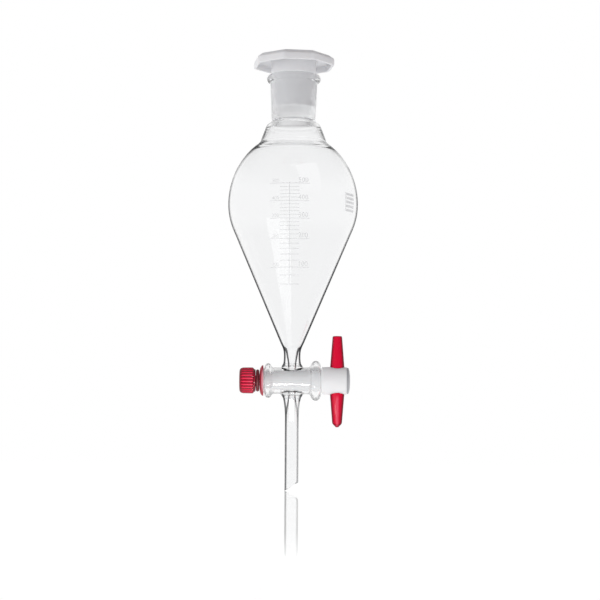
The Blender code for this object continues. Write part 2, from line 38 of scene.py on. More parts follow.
# The glass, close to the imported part. The bulb is a hair smaller, so that the printed scale stays inside
# its size, and the flares at the barrel turn in sooner.
SUPPORT_RADIUS = 40.0 * MM
BULB_RADIUS = 51.2 * MM
BULB_UPPER_HEIGHT = 57.1 * MM
CONE_ANGLE = radians(23.0)
BULB_WALL = 1.8 * MM
BULB_Z = 37.058 * MM
CONE_FOOT_Z = BULB_Z - 110.0 * MM
RIM_Z = BULB_Z + 103.5 * MM
SOCKET_RADIUS = 14.6 * MM
SOCKET_DEPTH = 32.0 * MM
TAPER = 0.05
COLLAR_RADIUS = 21.35 * MM
COLLAR_HEIGHT = 5.9 * MM
NECK_TOP_RADIUS = 18.7 * MM
NECK_FOOT_RADIUS = 17.4 * MM
NECK_FOOT_Z = BULB_Z + 66.8 * MM
SHOULDER_RADIUS = 21.9 * MM
SHOULDER_Z = BULB_Z + 62.0 * MM
SEAM_RADIUS = 26.9 * MM
SEAM_Z = BULB_Z + BULB_UPPER_HEIGHT * sqrt(1 - (SEAM_RADIUS / BULB_RADIUS) ** 2)
BARREL_Z = BULB_Z - 139.0 * MM
BARREL_LEFT = -21.6 * MM
BARREL_RIGHT = 22.7 * MM
BARREL_RADIUS = 10.45 * MM
LEFT_BEAD_RADIUS = 13.75 * MM
RIGHT_BEAD_RADIUS = 15.65 * MM
INLET_RADIUS = 6.45 * MM
FLARE_RADIUS = 9.2 * MM
STEM_RADIUS = 5.35 * MM
STEM_BORE_RADIUS = 3.8 * MM
TIP_Z = BULB_Z - 224.7 * MM
TIP_RISE = 6.6 * MM

# Key, handle, cap, nut and washers
KEY_MIDDLE_RADIUS = 7.8 * MM
KEY_BORE_RADIUS = 2.0 * MM
KEY_SMALL_END = -19.8 * MM
HEAD_RADIUS = 10.8 * MM
HEAD_LEFT = 23.3 * MM
HEAD_RIGHT = 42.7 * MM
CAP_RIGHT = 45.4 * MM
CAP_RADIUS = 10.3 * MM
CAP_SPIGOT_RADIUS = 3.4 * MM
HANDLE_X = 35.4 * MM
HANDLE_MIDDLE_RADIUS = 5.7 * MM
HANDLE_TIP_RADIUS = 3.7 * MM
HANDLE_TOP = 35.1 * MM
HANDLE_BOTTOM = 36.3 * MM
HANDLE_FLATNESS = 0.86
THREAD_PITCH = 2.0 * MM
THREAD_ROOT_RADIUS = 3.9 * MM
THREAD_CREST_RADIUS = 4.8 * MM
TAIL_FLAT = 4.1 * MM
TAIL_END = -39.8 * MM
NUT_LEFT = -41.2 * MM
NUT_RIGHT = -28.6 * MM
NUT_RADIUS = 10.2 * MM
NUT_RIBS = 24
NUT_RIB_DEPTH = 0.7 * MM
RING_RADIUS = 7.4 * MM
RING_CORD_RADIUS = 1.25 * MM
FLANGE_RADIUS = 12.2 * MM
FLANGE_DISC_LEFT = -25.45 * MM
FLANGE_DISC_RIGHT = -23.65 * MM
FLANGE_RIM_RIGHT = -22.5 * MM
WASHER_RADIUS = 9.6 * MM
WASHER_THICKNESS = 1.2 * MM
CLEARANCE = 0.3 * MM

# Stopper
STOPPER_HEAD_RADIUS = 33.1 * MM
STOPPER_TOP_RADIUS = 28.4 * MM
STOPPER_HEAD_Z = BULB_Z + 110.5 * MM
STOPPER_SIDE_HEIGHT = 5.1 * MM
STOPPER_BEVEL_HEIGHT = 3.3 * MM
STOPPER_TURN = radians(-14.0)
STOPPER_LIP = 2.2 * MM
STOPPER_RECESS = 4.8 * MM
STOPPER_SHOULDER_RADIUS = 17.9 * MM
STOPPER_LENGTH = 26.0 * MM
STOPPER_WALL = 2.6 * MM

# The printed scale
SCALE_SHIFT = 7.3 * MM
SCALE_MIDDLE = -2.7 * MM
MAJOR_HALF_LENGTH = 15.5 * MM
MINOR_HALF_LENGTH = 7.5 * MM
LINE_HALF_WIDTH = 0.22 * MM
FIRST_MARK = 60
LAST_MARK = 500
MARK_STEP = 20
FIGURE_STEP = 100
FIGURE_HEIGHT = 5.2 * MM
PRINT_LEFT = 47.5 * MM  # of the small print at the right, which five bars and a line stand in for
PRINT_RIGHT = 60.0 * MM
PRINT_FOOT = 28.0  # mm
PRINT_HEIGHT = 15.0
BAR_PITCH = 3.1
BAR_HEIGHT = 1.9

# The greys round the world, from straight below (0) to straight overhead (1)
WORLD_GREYS = ((0.0, 0.55), (0.30, 0.75), (0.44, 1.0), (0.66, 1.0), (0.80, 0.62), (1.0, 0.42))
OVERHEAD = (0.42, 0.42, 0.43, 1.0)

# The camera and the look of the glass, both fitted to the photograph
CAMERA_PLACE = (0.0, -1.4, -0.165)
CAMERA_TARGET = (0.0, 0.0, -0.0385)
CAMERA_ROLL = radians(0.35)
CAMERA_VIEW_WIDTH = 0.472  # metres across the picture at the target
CAMERA_SHIFT = 0.0125
BARREL_REACH = 16.5 * MM  # above and below the stopcock's axis, where the outer face may be the barrel's
BARREL_START = 8.0 * MM  # from the funnel's axis
EDGE_WIDTH = 1.5 * MM  # of the painted dark rim, a painted shade, along the glass's outline
EDGE_DARKNESS = (  # of the painted rim of shade, by height in mm: stem, cone, bulb, seam, shoulder and neck
    (-190, 0.54),
    (-140, 0.60),
    (-122, 0.86),
    (-95, 0.86),
    (-80, 0.95),
    (-10, 0.92),
    (20, 0.78),
    (42, 0.72),
    (58, 0.45),
    (70, 0.55),
    (78, 0.85),
    (85, 0.85),
    (87, 0.35),
    (101, 0.35),
    (104, 0.06),
)
# The painted rim of shade along the barrel, and how much paler it is painted on the right of the stem and
# the shoulder
BARREL_EDGE_DARKNESS = 0.22
STEM_RIGHT_PALER = 0.40
SHOULDER_RIGHT_PALER = 0.45
SHOULDER_START_Z = 66.0 * MM


# ---------------------------------------------------------------- shapes


def arc(centre, radii, start, end, count):
    """Points (r, z) on an ellipse about centre, from angle start to end in degrees, ends included."""
    angles = [radians(start + (end - start) * i / count) for i in range(count + 1)]
    return [(centre[0] + radii[0] * cos(a), centre[1] + radii[1] * sin(a)) for a in angles]


def rounded(points, steps=5):
    """The same outline, with each corner (r, z, width) that gives a width replaced by a smooth bend."""
    smooth = []
    for i, point in enumerate(points):
        corner = Vector(point[:2])
        width = point[2] if len(point) > 2 else 0.0
        if width == 0.0 or i == 0 or i == len(points) - 1:
            smooth.append(tuple(corner))
            continue
        before = Vector(points[i - 1][:2]) - corner
        after = Vector(points[i + 1][:2]) - corner
        width = min(width, 0.48 * before.length, 0.48 * after.length)
        first = corner + before.normalized() * width
        last = corner + after.normalized() * width
        for k in range(steps + 1):
            t = k / steps
            smooth.append(tuple(first * (1 - t) ** 2 + corner * 2 * t * (1 - t) + last * t * t))
    return smooth


def placed(name, shape):
    """A new object in the scene from a bmesh, which is freed."""
    mesh = bpy.data.meshes.new(name)
    shape.to_mesh(mesh)
    shape.free()
    obj = bpy.data.objects.new(name, mesh)
    bpy.context.scene.collection.objects.link(obj)
    return obj


def turned(name, profile, steps=128, along_x=False, closed=False, radius=None):
    """A solid turned about Z, or about the stopcock's axis, from points (r, height).

    radius(angle, r, height, index) changes a point's distance from the axis, and closed joins the last
    point to the first, as a ring needs.
    """
    shape = bmesh.new()
    rings = []
    for index, (r, height) in enumerate(profile):
        ring = []
        for i in range(1 if r < 1e-7 else steps):
            angle = 2 * pi * i / steps
            distance = radius(angle, r, height, index) if radius and r >= 1e-7 else r
            if along_x:
                place = (height, distance * sin(angle), BARREL_Z - distance * cos(angle))
            else:
                place = (distance * cos(angle), distance * sin(angle), height)
            ring.append(shape.verts.new(place))
        rings.append(ring)
    pairs = list(zip(rings, rings[1:]))
    if closed:
        pairs.append((rings[-1], rings[0]))
    for upper, lower in pairs:
        for i in range(steps):
            j = (i + 1) % steps
            corners = []
            for vertex in (
                upper[i % len(upper)],
                lower[i % len(lower)],
                lower[j % len(lower)],
                upper[j % len(upper)],
            ):
                if vertex not in corners:
                    corners.append(vertex)
            if len(corners) > 2:
                shape.faces.new(corners)
    bmesh.ops.recalc_face_normals(shape, faces=shape.faces)
    return placed(name, shape)


def combine(obj, other, operation):
    """Joins other to obj, or cuts it from obj, and removes it."""
    modifier = obj.modifiers.new("Boolean", "BOOLEAN")
    modifier.operation = operation
    modifier.object = other
    modifier.solver = "EXACT"
    bpy.context.view_layer.update()
    graph = bpy.context.evaluated_depsgraph_get()
    mesh = bpy.data.meshes.new_from_object(obj.evaluated_get(graph))
    obj.modifiers.clear()
    obj.data = mesh
    bpy.data.objects.remove(other)


def block(name, low, high):
    """A box between two corners."""
    shape = bmesh.new()
    bmesh.ops.create_cube(shape, size=1.0)
    for vertex in shape.verts:
        vertex.co = Vector([a + (b - a) * (c + 0.5) for a, b, c in zip(low, high, vertex.co)])
    return placed(name, shape)


def finish(obj, finish_material, angle=32.0):
    obj.data.materials.clear()
    obj.data.materials.append(finish_material)
    obj.data.shade_smooth()
    obj.data.set_sharp_from_angle(angle=radians(angle))
    return obj


def cone_radius(z, wall=0.0):
    return SUPPORT_RADIUS - 0.1 * MM + z * tan(CONE_ANGLE) - wall / cos(CONE_ANGLE)


def bulb_curve(wall, start, end, count):
    """The bulb's upper curve, moved in by wall."""
    return arc((0.0, BULB_Z), (BULB_RADIUS - wall, BULB_UPPER_HEIGHT - wall), start, end, count)


def outer_radius(z):
    """The bulb's outer radius at a height between the cone and the seam."""
    if z >= BULB_Z:
        return BULB_RADIUS * sqrt(max(0.0, 1 - ((z - BULB_Z) / BULB_UPPER_HEIGHT) ** 2))
    if z >= BULB_Z - BULB_RADIUS * sin(CONE_ANGLE):
        return sqrt(BULB_RADIUS**2 - (z - BULB_Z) ** 2)
    return cone_radius(z)


def glass_outline():
    collar_z = RIM_Z - COLLAR_HEIGHT / 2
    collar_depth = COLLAR_RADIUS - NECK_TOP_RADIUS
    seam_angle = degrees(asin((SEAM_Z - BULB_Z) / BULB_UPPER_HEIGHT))
    return rounded(
        [
            (0.0, RIM_Z),
            (NECK_TOP_RADIUS - 1.2 * MM, RIM_Z),
            *arc((NECK_TOP_RADIUS, collar_z), (collar_depth, COLLAR_HEIGHT / 2), 82, -78, 16),
            (NECK_TOP_RADIUS - 0.05 * MM, RIM_Z - COLLAR_HEIGHT - 0.6 * MM, 1.0 * MM),
            (NECK_FOOT_RADIUS, NECK_FOOT_Z, 2.5 * MM),
            (NECK_FOOT_RADIUS + 0.9 * MM, NECK_FOOT_Z - 1.6 * MM, 0.8 * MM),
            (SHOULDER_RADIUS - 0.6 * MM, SHOULDER_Z + 1.4 * MM, 1.2 * MM),
            (SHOULDER_RADIUS + 0.1 * MM, SHOULDER_Z - 0.6 * MM, 1.2 * MM),
            (SEAM_RADIUS - 0.6 * MM, SEAM_Z + 1.1 * MM, 0.7 * MM),
            *bulb_curve(0.0, seam_angle - 1.5, 0, 40),
            *arc((0.0, BULB_Z), (BULB_RADIUS, BULB_RADIUS), -2, -23, 12),
            (cone_radius(CONE_FOOT_Z + 8 * MM), CONE_FOOT_Z + 8 * MM),
            (cone_radius(CONE_FOOT_Z), CONE_FOOT_Z, 3.5 * MM),
            (INLET_RADIUS + 0.7 * MM, BULB_Z - 113.6 * MM, 1.8 * MM),
            (INLET_RADIUS, BULB_Z - 117.5 * MM, 2.0 * MM),
            (INLET_RADIUS, BARREL_Z + 16.5 * MM, 2.0 * MM),
            (INLET_RADIUS + 0.5 * MM, BARREL_Z + 13.0 * MM, 1.4 * MM),
            (FLARE_RADIUS, BARREL_Z + 10.0 * MM, 0.8 * MM),
            (INLET_RADIUS, BARREL_Z + 8.0 * MM, 1.0 * MM),
            (0.6 * INLET_RADIUS, BARREL_Z, 1.0 * MM),
            (INLET_RADIUS, BARREL_Z - 8.0 * MM, 1.0 * MM),
            (FLARE_RADIUS + 0.6 * MM, BARREL_Z - 10.0 * MM, 0.8 * MM),
            (STEM_RADIUS + 1.8 * MM, BARREL_Z - 12.8 * MM, 1.6 * MM),
            (STEM_RADIUS + 0.9 * MM, BARREL_Z - 17.0 * MM, 2.0 * MM),
            (STEM_RADIUS + 0.3 * MM, BARREL_Z - 22.0 * MM, 2.5 * MM),
            (STEM_RADIUS, BARREL_Z - 27.0 * MM, 2.5 * MM),
            (STEM_RADIUS, TIP_Z),
            (0.0, TIP_Z),
        ]
    )


def cavity_outline():
    socket_foot = SOCKET_RADIUS - TAPER * SOCKET_DEPTH
    socket_foot_z = RIM_Z - SOCKET_DEPTH
    inner_angle = 48.0
    beyond = 2.0 * MM
    return rounded(
        [
            (0.0, RIM_Z + beyond),
            (SOCKET_RADIUS + 1.2 * MM, RIM_Z + beyond),
            (SOCKET_RADIUS + 0.7 * MM, RIM_Z + 0.1 * MM, 0.5 * MM),
            (SOCKET_RADIUS, RIM_Z - 0.8 * MM, 0.4 * MM),
            (socket_foot, socket_foot_z, 0.5 * MM),
            (socket_foot + 0.5 * MM, socket_foot_z - 3.0 * MM, 1.6 * MM),
            (SHOULDER_RADIUS - 2.5 * MM, SHOULDER_Z - 1.2 * MM, 2.6 * MM),
            (SEAM_RADIUS - 2.2 * MM, SEAM_Z + 0.4 * MM, 1.6 * MM),
            (SEAM_RADIUS - 1.3 * MM, SEAM_Z - 2.6 * MM, 1.6 * MM),
            *bulb_curve(BULB_WALL, inner_angle, 0, 40),
            *arc((0.0, BULB_Z), (BULB_RADIUS - BULB_WALL, BULB_RADIUS - BULB_WALL), -2, -23, 12),
            (cone_radius(CONE_FOOT_Z + 6 * MM, BULB_WALL), CONE_FOOT_Z + 6 * MM),
            (cone_radius(CONE_FOOT_Z, BULB_WALL), CONE_FOOT_Z, 3.0 * MM),
            (KEY_BORE_RADIUS + 1.5 * MM, CONE_FOOT_Z - 5.0 * MM, 2.5 * MM),
            (KEY_BORE_RADIUS + 0.3 * MM, BARREL_Z + 14.0 * MM, 1.0 * MM),
            (KEY_BORE_RADIUS, BARREL_Z),
            (KEY_BORE_RADIUS, BARREL_Z - 13.0 * MM, 1.0 * MM),
            (KEY_BORE_RADIUS + 0.5 * MM, BARREL_Z - 17.0 * MM, 3.0 * MM),
            (STEM_BORE_RADIUS, BARREL_Z - 27.0 * MM, 4.0 * MM),
            (STEM_BORE_RADIUS, TIP_Z - beyond),
            (0.0, TIP_Z - beyond),
        ]
    )


def barrel_outline():
    right_bead_x = BARREL_RIGHT - 4.2 * MM
    left_bead_x = BARREL_LEFT + 2.9 * MM
    right_bead = (RIGHT_BEAD_RADIUS - BARREL_RADIUS, 4.15 * MM)
    left_bead = (LEFT_BEAD_RADIUS - BARREL_RADIUS, 2.85 * MM)
    return rounded(
        [
            (0.0, BARREL_RIGHT),
            (BARREL_RADIUS + 0.2 * MM, BARREL_RIGHT),
            *arc((BARREL_RADIUS, right_bead_x), right_bead, 80, -70, 18),
            (BARREL_RADIUS + 0.2 * MM, right_bead_x - 4.9 * MM, 1.2 * MM),
            (BARREL_RADIUS - 0.1 * MM, 0.0),
            (BARREL_RADIUS - 0.1 * MM, left_bead_x + 3.5 * MM, 1.2 * MM),
            *arc((BARREL_RADIUS - 0.2 * MM, left_bead_x), left_bead, 66, -76, 16),
            (BARREL_RADIUS - 0.6 * MM, BARREL_LEFT),
            (0.0, BARREL_LEFT),
        ]
    )


def key_radius(x, clearance=0.0):
    return KEY_MIDDLE_RADIUS + TAPER * x + clearance


def make_glass(finish_material):
    glass = turned("glass", glass_outline(), steps=160)
    combine(glass, turned("barrel", barrel_outline(), steps=128, along_x=True), "UNION")
    combine(glass, turned("cavity", cavity_outline(), steps=144), "DIFFERENCE")
    left = BARREL_LEFT - 2 * MM
    right = BARREL_RIGHT + 2 * MM
    gap = 0.12 * MM
    bore = [
        (0.0, right),
        (key_radius(right, gap), right),
        (key_radius(0.0, gap), 0.0),
        (key_radius(left, gap), left),
        (0.0, left),
    ]
    combine(glass, turned("key_bore", bore, steps=128, along_x=True), "DIFFERENCE")
    slope = TIP_RISE / (2 * STEM_RADIUS)
    low = (-20 * MM, -20 * MM, -12 * MM)
    high = (20 * MM, 20 * MM, 0.0)
    tip = block("tip", low, high)
    tip.rotation_euler = (0.0, -atan(slope), 0.0)
    tip.location = (-STEM_RADIUS + 0.4 * MM, 0.0, TIP_Z + 0.4 * MM * slope)
    combine(glass, tip, "DIFFERENCE")
    return finish(glass, finish_material, 40.0)


def threaded_rod(name, start, turns, clearance=0.0, slack=0.0, steps=40):
    """A closed right-handed threaded rod along the stopcock's axis from x = start."""
    root = THREAD_ROOT_RADIUS + clearance
    crest = THREAD_CREST_RADIUS + clearance
    outline = [
        (root, slack),
        (root, 0.3 * THREAD_PITCH - slack),
        (crest, 0.5 * THREAD_PITCH - slack),
        (crest, 0.8 * THREAD_PITCH + slack),
    ]
    shape = bmesh.new()
    total = turns * steps
    rows = []
    for k in range(total + 1):
        angle = 2 * pi * k / steps
        along = THREAD_PITCH * k / steps
        row = []
        for r, h in outline:
            row.append(shape.verts.new((start + h + along, r * sin(angle), BARREL_Z - r * cos(angle))))
        rows.append(row)
    for k in range(total):
        for i in range(3):
            shape.faces.new((rows[k][i], rows[k][i + 1], rows[k + 1][i + 1], rows[k + 1][i]))
        if k + steps <= total - 1:
            ahead = rows[k + steps]
            beyond = rows[k + steps + 1]
            shape.faces.new((rows[k][3], ahead[0], beyond[0], rows[k + 1][3]))
    for x, low in ((start - THREAD_PITCH, True), (start + (turns + 2) * THREAD_PITCH, False)):
        tip = shape.verts.new((x, 0.0, BARREL_Z))
        middle = start + turns * THREAD_PITCH / 2
        for edge in [e for e in shape.edges if e.is_boundary]:
            if (sum(v.co.x for v in edge.verts) / 2 < middle) == low:
                shape.faces.new((edge.verts[0], edge.verts[1], tip))
    bmesh.ops.recalc_face_normals(shape, faces=shape.faces)
    return placed(name, shape)


def upright_drill(name, radius, steps):
    """A cylinder about Z through the whole stopcock."""
    high = BARREL_Z + 20 * MM
    low = BARREL_Z - 20 * MM
    return turned(name, [(0.0, high), (radius, high), (radius, low), (0.0, low)], steps=steps)


def make_key(finish_material):
    rod = threaded_rod("tail", TAIL_END - 3 * THREAD_PITCH, 15)
    envelope = [
        (0.0, KEY_SMALL_END + 3 * MM),
        (THREAD_CREST_RADIUS + 1 * MM, KEY_SMALL_END + 3 * MM),
        (THREAD_CREST_RADIUS + 1 * MM, TAIL_END + 1.2 * MM),
        (THREAD_ROOT_RADIUS - 0.3 * MM, TAIL_END),
        (0.0, TAIL_END),
    ]
    combine(rod, turned("tail_envelope", envelope, steps=64, along_x=True), "INTERSECT")
    reach = 6 * MM
    for side in (1, -1):
        ys = sorted((side * TAIL_FLAT, side * (TAIL_FLAT + reach)))
        low = (TAIL_END - reach, ys[0], BARREL_Z - reach)
        high = (KEY_SMALL_END - CLEARANCE, ys[1], BARREL_Z + reach)
        combine(rod, block("tail_flat", low, high), "DIFFERENCE")
    profile = rounded(
        [
            (0.0, HEAD_RIGHT),
            (HEAD_RADIUS, HEAD_RIGHT, 0.5 * MM),
            (HEAD_RADIUS, HEAD_LEFT, 1.0 * MM),
            (key_radius(BARREL_RIGHT), HEAD_LEFT),
            (key_radius(BARREL_RIGHT), BARREL_RIGHT),
            (key_radius(14 * MM), 14 * MM),
            (key_radius(7 * MM), 7 * MM),
            (key_radius(0.0), 0.0),
            (key_radius(-7 * MM), -7 * MM),
            (key_radius(-14 * MM), -14 * MM),
            (key_radius(KEY_SMALL_END), KEY_SMALL_END, 0.6 * MM),
            (0.0, KEY_SMALL_END),
        ]
    )
    key = turned("key", profile, steps=128, along_x=True)
    combine(key, rod, "UNION")
    combine(key, upright_drill("cross_bore", KEY_BORE_RADIUS, 48), "DIFFERENCE")
    hole = upright_drill("handle_hole", HANDLE_MIDDLE_RADIUS + 0.12 * MM, 96)
    hole.scale = (1.0, HANDLE_FLATNESS, 1.0)
    hole.location = (HANDLE_X, 0.0, 0.0)
    combine(key, hole, "DIFFERENCE")
    spigot = CAP_SPIGOT_RADIUS + CLEARANCE
    socket = [(0.0, HEAD_RIGHT + 5 * MM), (spigot, HEAD_RIGHT + 5 * MM), (spigot, HANDLE_X), (0.0, HANDLE_X)]
    combine(key, turned("spigot_hole", socket, steps=48, along_x=True), "DIFFERENCE")
    return finish(key, finish_material)


def make_handle(finish_material):
    """One bar through the head: the upper arm oval with a flat end, the lower arm ridged and pointed."""
    outline = rounded(
        [
            (0.0, HANDLE_TOP),
            (HANDLE_TIP_RADIUS, HANDLE_TOP, 1.1 * MM),
            (HANDLE_MIDDLE_RADIUS - 0.1 * MM, HEAD_RADIUS),
            (HANDLE_MIDDLE_RADIUS, 2.0 * MM),
            (HANDLE_MIDDLE_RADIUS, -2.0 * MM),
            (HANDLE_MIDDLE_RADIUS - 0.1 * MM, -HEAD_RADIUS),
            (HANDLE_TIP_RADIUS + 0.1 * MM, 2.9 * MM - HANDLE_BOTTOM, 1.2 * MM),
            (0.9 * MM, -HANDLE_BOTTOM, 0.7 * MM),
            (0.0, -HANDLE_BOTTOM),
        ]
    )

    def section(angle, r, height, index):
        ridge = min(1.0, max(0.0, (-height - HEAD_RADIUS) / (6 * MM)))
        power = 2.0 - 0.55 * ridge
        wide = abs(cos(angle)) ** power + abs(sin(angle)) ** power
        return r * wide ** (-1 / power)

    handle = turned("handle_bar", outline, steps=96, radius=section)
    for vertex in handle.data.vertices:
        vertex.co.x += HANDLE_X
        vertex.co.y *= HANDLE_FLATNESS
        vertex.co.z += BARREL_Z
    return finish(handle, finish_material, 50.0)


def make_cap(finish_material):
    left = HEAD_RIGHT + 0.12 * MM
    inner = HANDLE_X + HANDLE_MIDDLE_RADIUS + CLEARANCE
    profile = rounded(
        [
            (0.0, CAP_RIGHT - 0.15 * MM),
            (3.6 * MM, CAP_RIGHT - 0.15 * MM, 0.3 * MM),
            (4.0 * MM, CAP_RIGHT - 0.02 * MM, 0.3 * MM),
            (CAP_RADIUS - 2.8 * MM, CAP_RIGHT - 0.4 * MM, 1.5 * MM),
            (CAP_RADIUS - 0.5 * MM, CAP_RIGHT - 1.0 * MM, 0.8 * MM),
            (CAP_RADIUS - 0.02 * MM, CAP_RIGHT - 1.7 * MM, 0.4 * MM),
            (CAP_RADIUS - 0.02 * MM, left, 0.2 * MM),
            (CAP_SPIGOT_RADIUS, left),
            (CAP_SPIGOT_RADIUS, inner, 0.3 * MM),
            (0.0, inner),
        ]
    )
    cap = turned("end_cap", profile, steps=128, along_x=True)
    return finish(cap, finish_material)


def make_washer(finish_material):
    right = BARREL_LEFT - 0.15 * MM
    left = right - WASHER_THICKNESS
    inside = THREAD_CREST_RADIUS + CLEARANCE
    profile = rounded(
        [
            (inside, (left + right) / 2),
            (inside, right, 0.2 * MM),
            (WASHER_RADIUS - 0.02 * MM, right, 0.3 * MM),
            (WASHER_RADIUS - 0.02 * MM, left, 0.3 * MM),
            (inside, left, 0.2 * MM),
            (inside, (left + right) / 2 - 0.01 * MM),
        ]
    )
    washer = turned("washer", profile, steps=128, along_x=True, closed=True)
    return finish(washer, finish_material)


def make_flange(finish_material):
    inside = THREAD_CREST_RADIUS + CLEARANCE
    middle = (FLANGE_DISC_LEFT + FLANGE_DISC_RIGHT) / 2
    profile = rounded(
        [
            (inside, middle),
            (inside, FLANGE_DISC_RIGHT, 0.3 * MM),
            (WASHER_RADIUS + 0.1 * MM, FLANGE_DISC_RIGHT, 0.8 * MM),
            (FLANGE_RADIUS - 1.2 * MM, FLANGE_RIM_RIGHT, 0.4 * MM),
            (FLANGE_RADIUS - 0.02 * MM, FLANGE_RIM_RIGHT, 0.4 * MM),
            (FLANGE_RADIUS - 0.5 * MM, FLANGE_RIM_RIGHT - 1.3 * MM, 0.8 * MM),
            (WASHER_RADIUS - 0.2 * MM, FLANGE_DISC_LEFT + 0.3 * MM, 0.8 * MM),
            (inside + 1.2 * MM, FLANGE_DISC_LEFT + 0.02 * MM),
            (inside, FLANGE_DISC_LEFT + 0.02 * MM, 0.3 * MM),
            (inside, middle - 0.01 * MM),
        ]
    )
    flange = turned("flange", profile, steps=128, along_x=True, closed=True)
    return finish(flange, finish_material)


def make_ring(finish_material):
    x = FLANGE_DISC_LEFT - CLEARANCE - RING_CORD_RADIUS
    section = arc((RING_RADIUS, x), (RING_CORD_RADIUS, RING_CORD_RADIUS), 180, -180, 28)[:-1]
    ring = turned("rubber_ring", section, steps=128, along_x=True, closed=True)
    return finish(ring, finish_material, 60.0)


def make_nut(finish_material):
    """A nut with rounded ribs round its side, a plain chamfer at each end and a thread right through."""
    profile = rounded(
        [
            (0.0, NUT_RIGHT),
            (NUT_RADIUS - 1.5 * MM, NUT_RIGHT, 0.3 * MM),
            (NUT_RADIUS - 1.3 * MM, NUT_RIGHT - 0.9 * MM, 0.3 * MM),
            (NUT_RADIUS, NUT_RIGHT - 2.0 * MM, 0.8 * MM),
            (NUT_RADIUS, NUT_RIGHT - 4.6 * MM),
            (NUT_RADIUS - 0.05 * MM, NUT_RIGHT - 7.2 * MM),
            (NUT_RADIUS - 0.1 * MM, NUT_LEFT + 2.4 * MM, 1.0 * MM),
            (NUT_RADIUS - 0.9 * MM, NUT_LEFT + 0.8 * MM, 0.8 * MM),
            (NUT_RADIUS - 2.2 * MM, NUT_LEFT, 0.8 * MM),
            (0.0, NUT_LEFT),
        ]
    )

    def ribbed(angle, r, height, index):
        outward = min(1.0, max(0.0, (r - NUT_RADIUS + 1.4 * MM) / (0.9 * MM)))
        groove = (0.5 + 0.5 * cos(NUT_RIBS * angle)) ** 2.2
        return r - NUT_RIB_DEPTH * outward * groove

    nut = turned("nut", profile, steps=NUT_RIBS * 10, along_x=True, radius=ribbed)
    thread = threaded_rod("nut_thread", TAIL_END - 3 * THREAD_PITCH, 10, CLEARANCE, 0.2 * MM)
    combine(nut, thread, "DIFFERENCE")
    return finish(nut, finish_material, 50.0)


def make_stopper(finish_material):
    """An octagonal bevelled head with rounded corners over a round, hollow, tapered plug."""
    side_top = STOPPER_HEAD_Z + STOPPER_SIDE_HEIGHT
    top = side_top + STOPPER_BEVEL_HEIGHT
    plug_top = SOCKET_RADIUS - CLEARANCE / 2
    foot_z = RIM_Z - STOPPER_LENGTH
    foot = plug_top - TAPER * STOPPER_LENGTH
    inside_z = STOPPER_HEAD_Z
    ceiling = STOPPER_HEAD_Z + STOPPER_RECESS
    lip_radius = STOPPER_HEAD_RADIUS - STOPPER_LIP
    head = [
        (0.0, top - 0.25 * MM),
        (2.6 * MM, top - 0.25 * MM, 0.3 * MM),
        (3.0 * MM, top - 0.02 * MM, 0.3 * MM),
        (STOPPER_TOP_RADIUS * 0.6, top - 0.02 * MM),
        (STOPPER_TOP_RADIUS, top - 0.02 * MM, 0.8 * MM),
        (STOPPER_HEAD_RADIUS, side_top, 0.9 * MM),
        (STOPPER_HEAD_RADIUS, STOPPER_HEAD_Z, 0.6 * MM),
        (lip_radius, STOPPER_HEAD_Z, 0.5 * MM),
        (lip_radius - 0.3 * MM, ceiling, 0.9 * MM),
    ]
    plug = [
        (STOPPER_SHOULDER_RADIUS, ceiling, 0.8 * MM),
        (STOPPER_SHOULDER_RADIUS, RIM_Z + CLEARANCE, 0.8 * MM),
        (plug_top + 0.3 * MM, RIM_Z + CLEARANCE, 0.2 * MM),
        (plug_top, RIM_Z - 0.8 * MM, 0.4 * MM),
        (foot, foot_z, 0.7 * MM),
        (foot - STOPPER_WALL, foot_z, 0.4 * MM),
        (plug_top - STOPPER_WALL, inside_z - 2.5 * MM),
        (plug_top - STOPPER_WALL, inside_z, 1.5 * MM),
        (0.0, inside_z),
    ]
    profile = rounded(head + plug)
    octagon_points = len(rounded(head + plug[:1])) - 1
    apothem = cos(pi / 8)
    corner = 0.09
    reach = (apothem - corner) / cos(pi / 8)
    limit = atan((apothem - corner) * tan(pi / 8) / apothem)

    def octagonal(angle, r, height, index):
        if index >= octagon_points or r < 4 * MM:
            return r
        around = (angle - STOPPER_TURN) % (pi / 4) - pi / 8
        if abs(around) <= limit:
            return r * apothem / cos(around)
        off = pi / 8 - abs(around)
        return r * (reach * cos(off) + sqrt(corner**2 - (reach * sin(off)) ** 2))

    stopper = turned("stopper_moulding", profile, steps=192, radius=octagonal)
    return finish(stopper, finish_material, 38.0)


# ---------------------------------------------------------------- the printed scale


def level(volume):
    """The height at which the mark for a volume in ml is drawn, in metres.

    It is the height that the volume reaches inside the bulb, less SCALE_SHIFT. The shift was fitted so that
    the marks look right from this scene's camera. They aren't a true scale for the bulb modelled here.
    """
    slope = tan(CONE_ANGLE)
    apex = -(SUPPORT_RADIUS - BULB_WALL / cos(CONE_ANGLE)) / slope
    held = volume * 1e-6
    z = apex + (3 * held / (pi * slope**2)) ** (1 / 3)
    turn = BULB_Z - (BULB_RADIUS - BULB_WALL) * sin(CONE_ANGLE)
    if z > turn:
        z = turn
        held -= pi * slope**2 * (turn - apex) ** 3 / 3
        step = 0.05 * MM
        while held > 0:
            r = outer_radius(z) - BULB_WALL
            held -= pi * r * r * step
            z += step
    return z - SCALE_SHIFT


def on_bulb(along, z, lift):
    """The point on the bulb at height z whose distance along its surface from the front line is along."""
    r = outer_radius(z)
    angle = along / r
    return ((r + lift) * sin(angle), -(r + lift) * cos(angle), z)


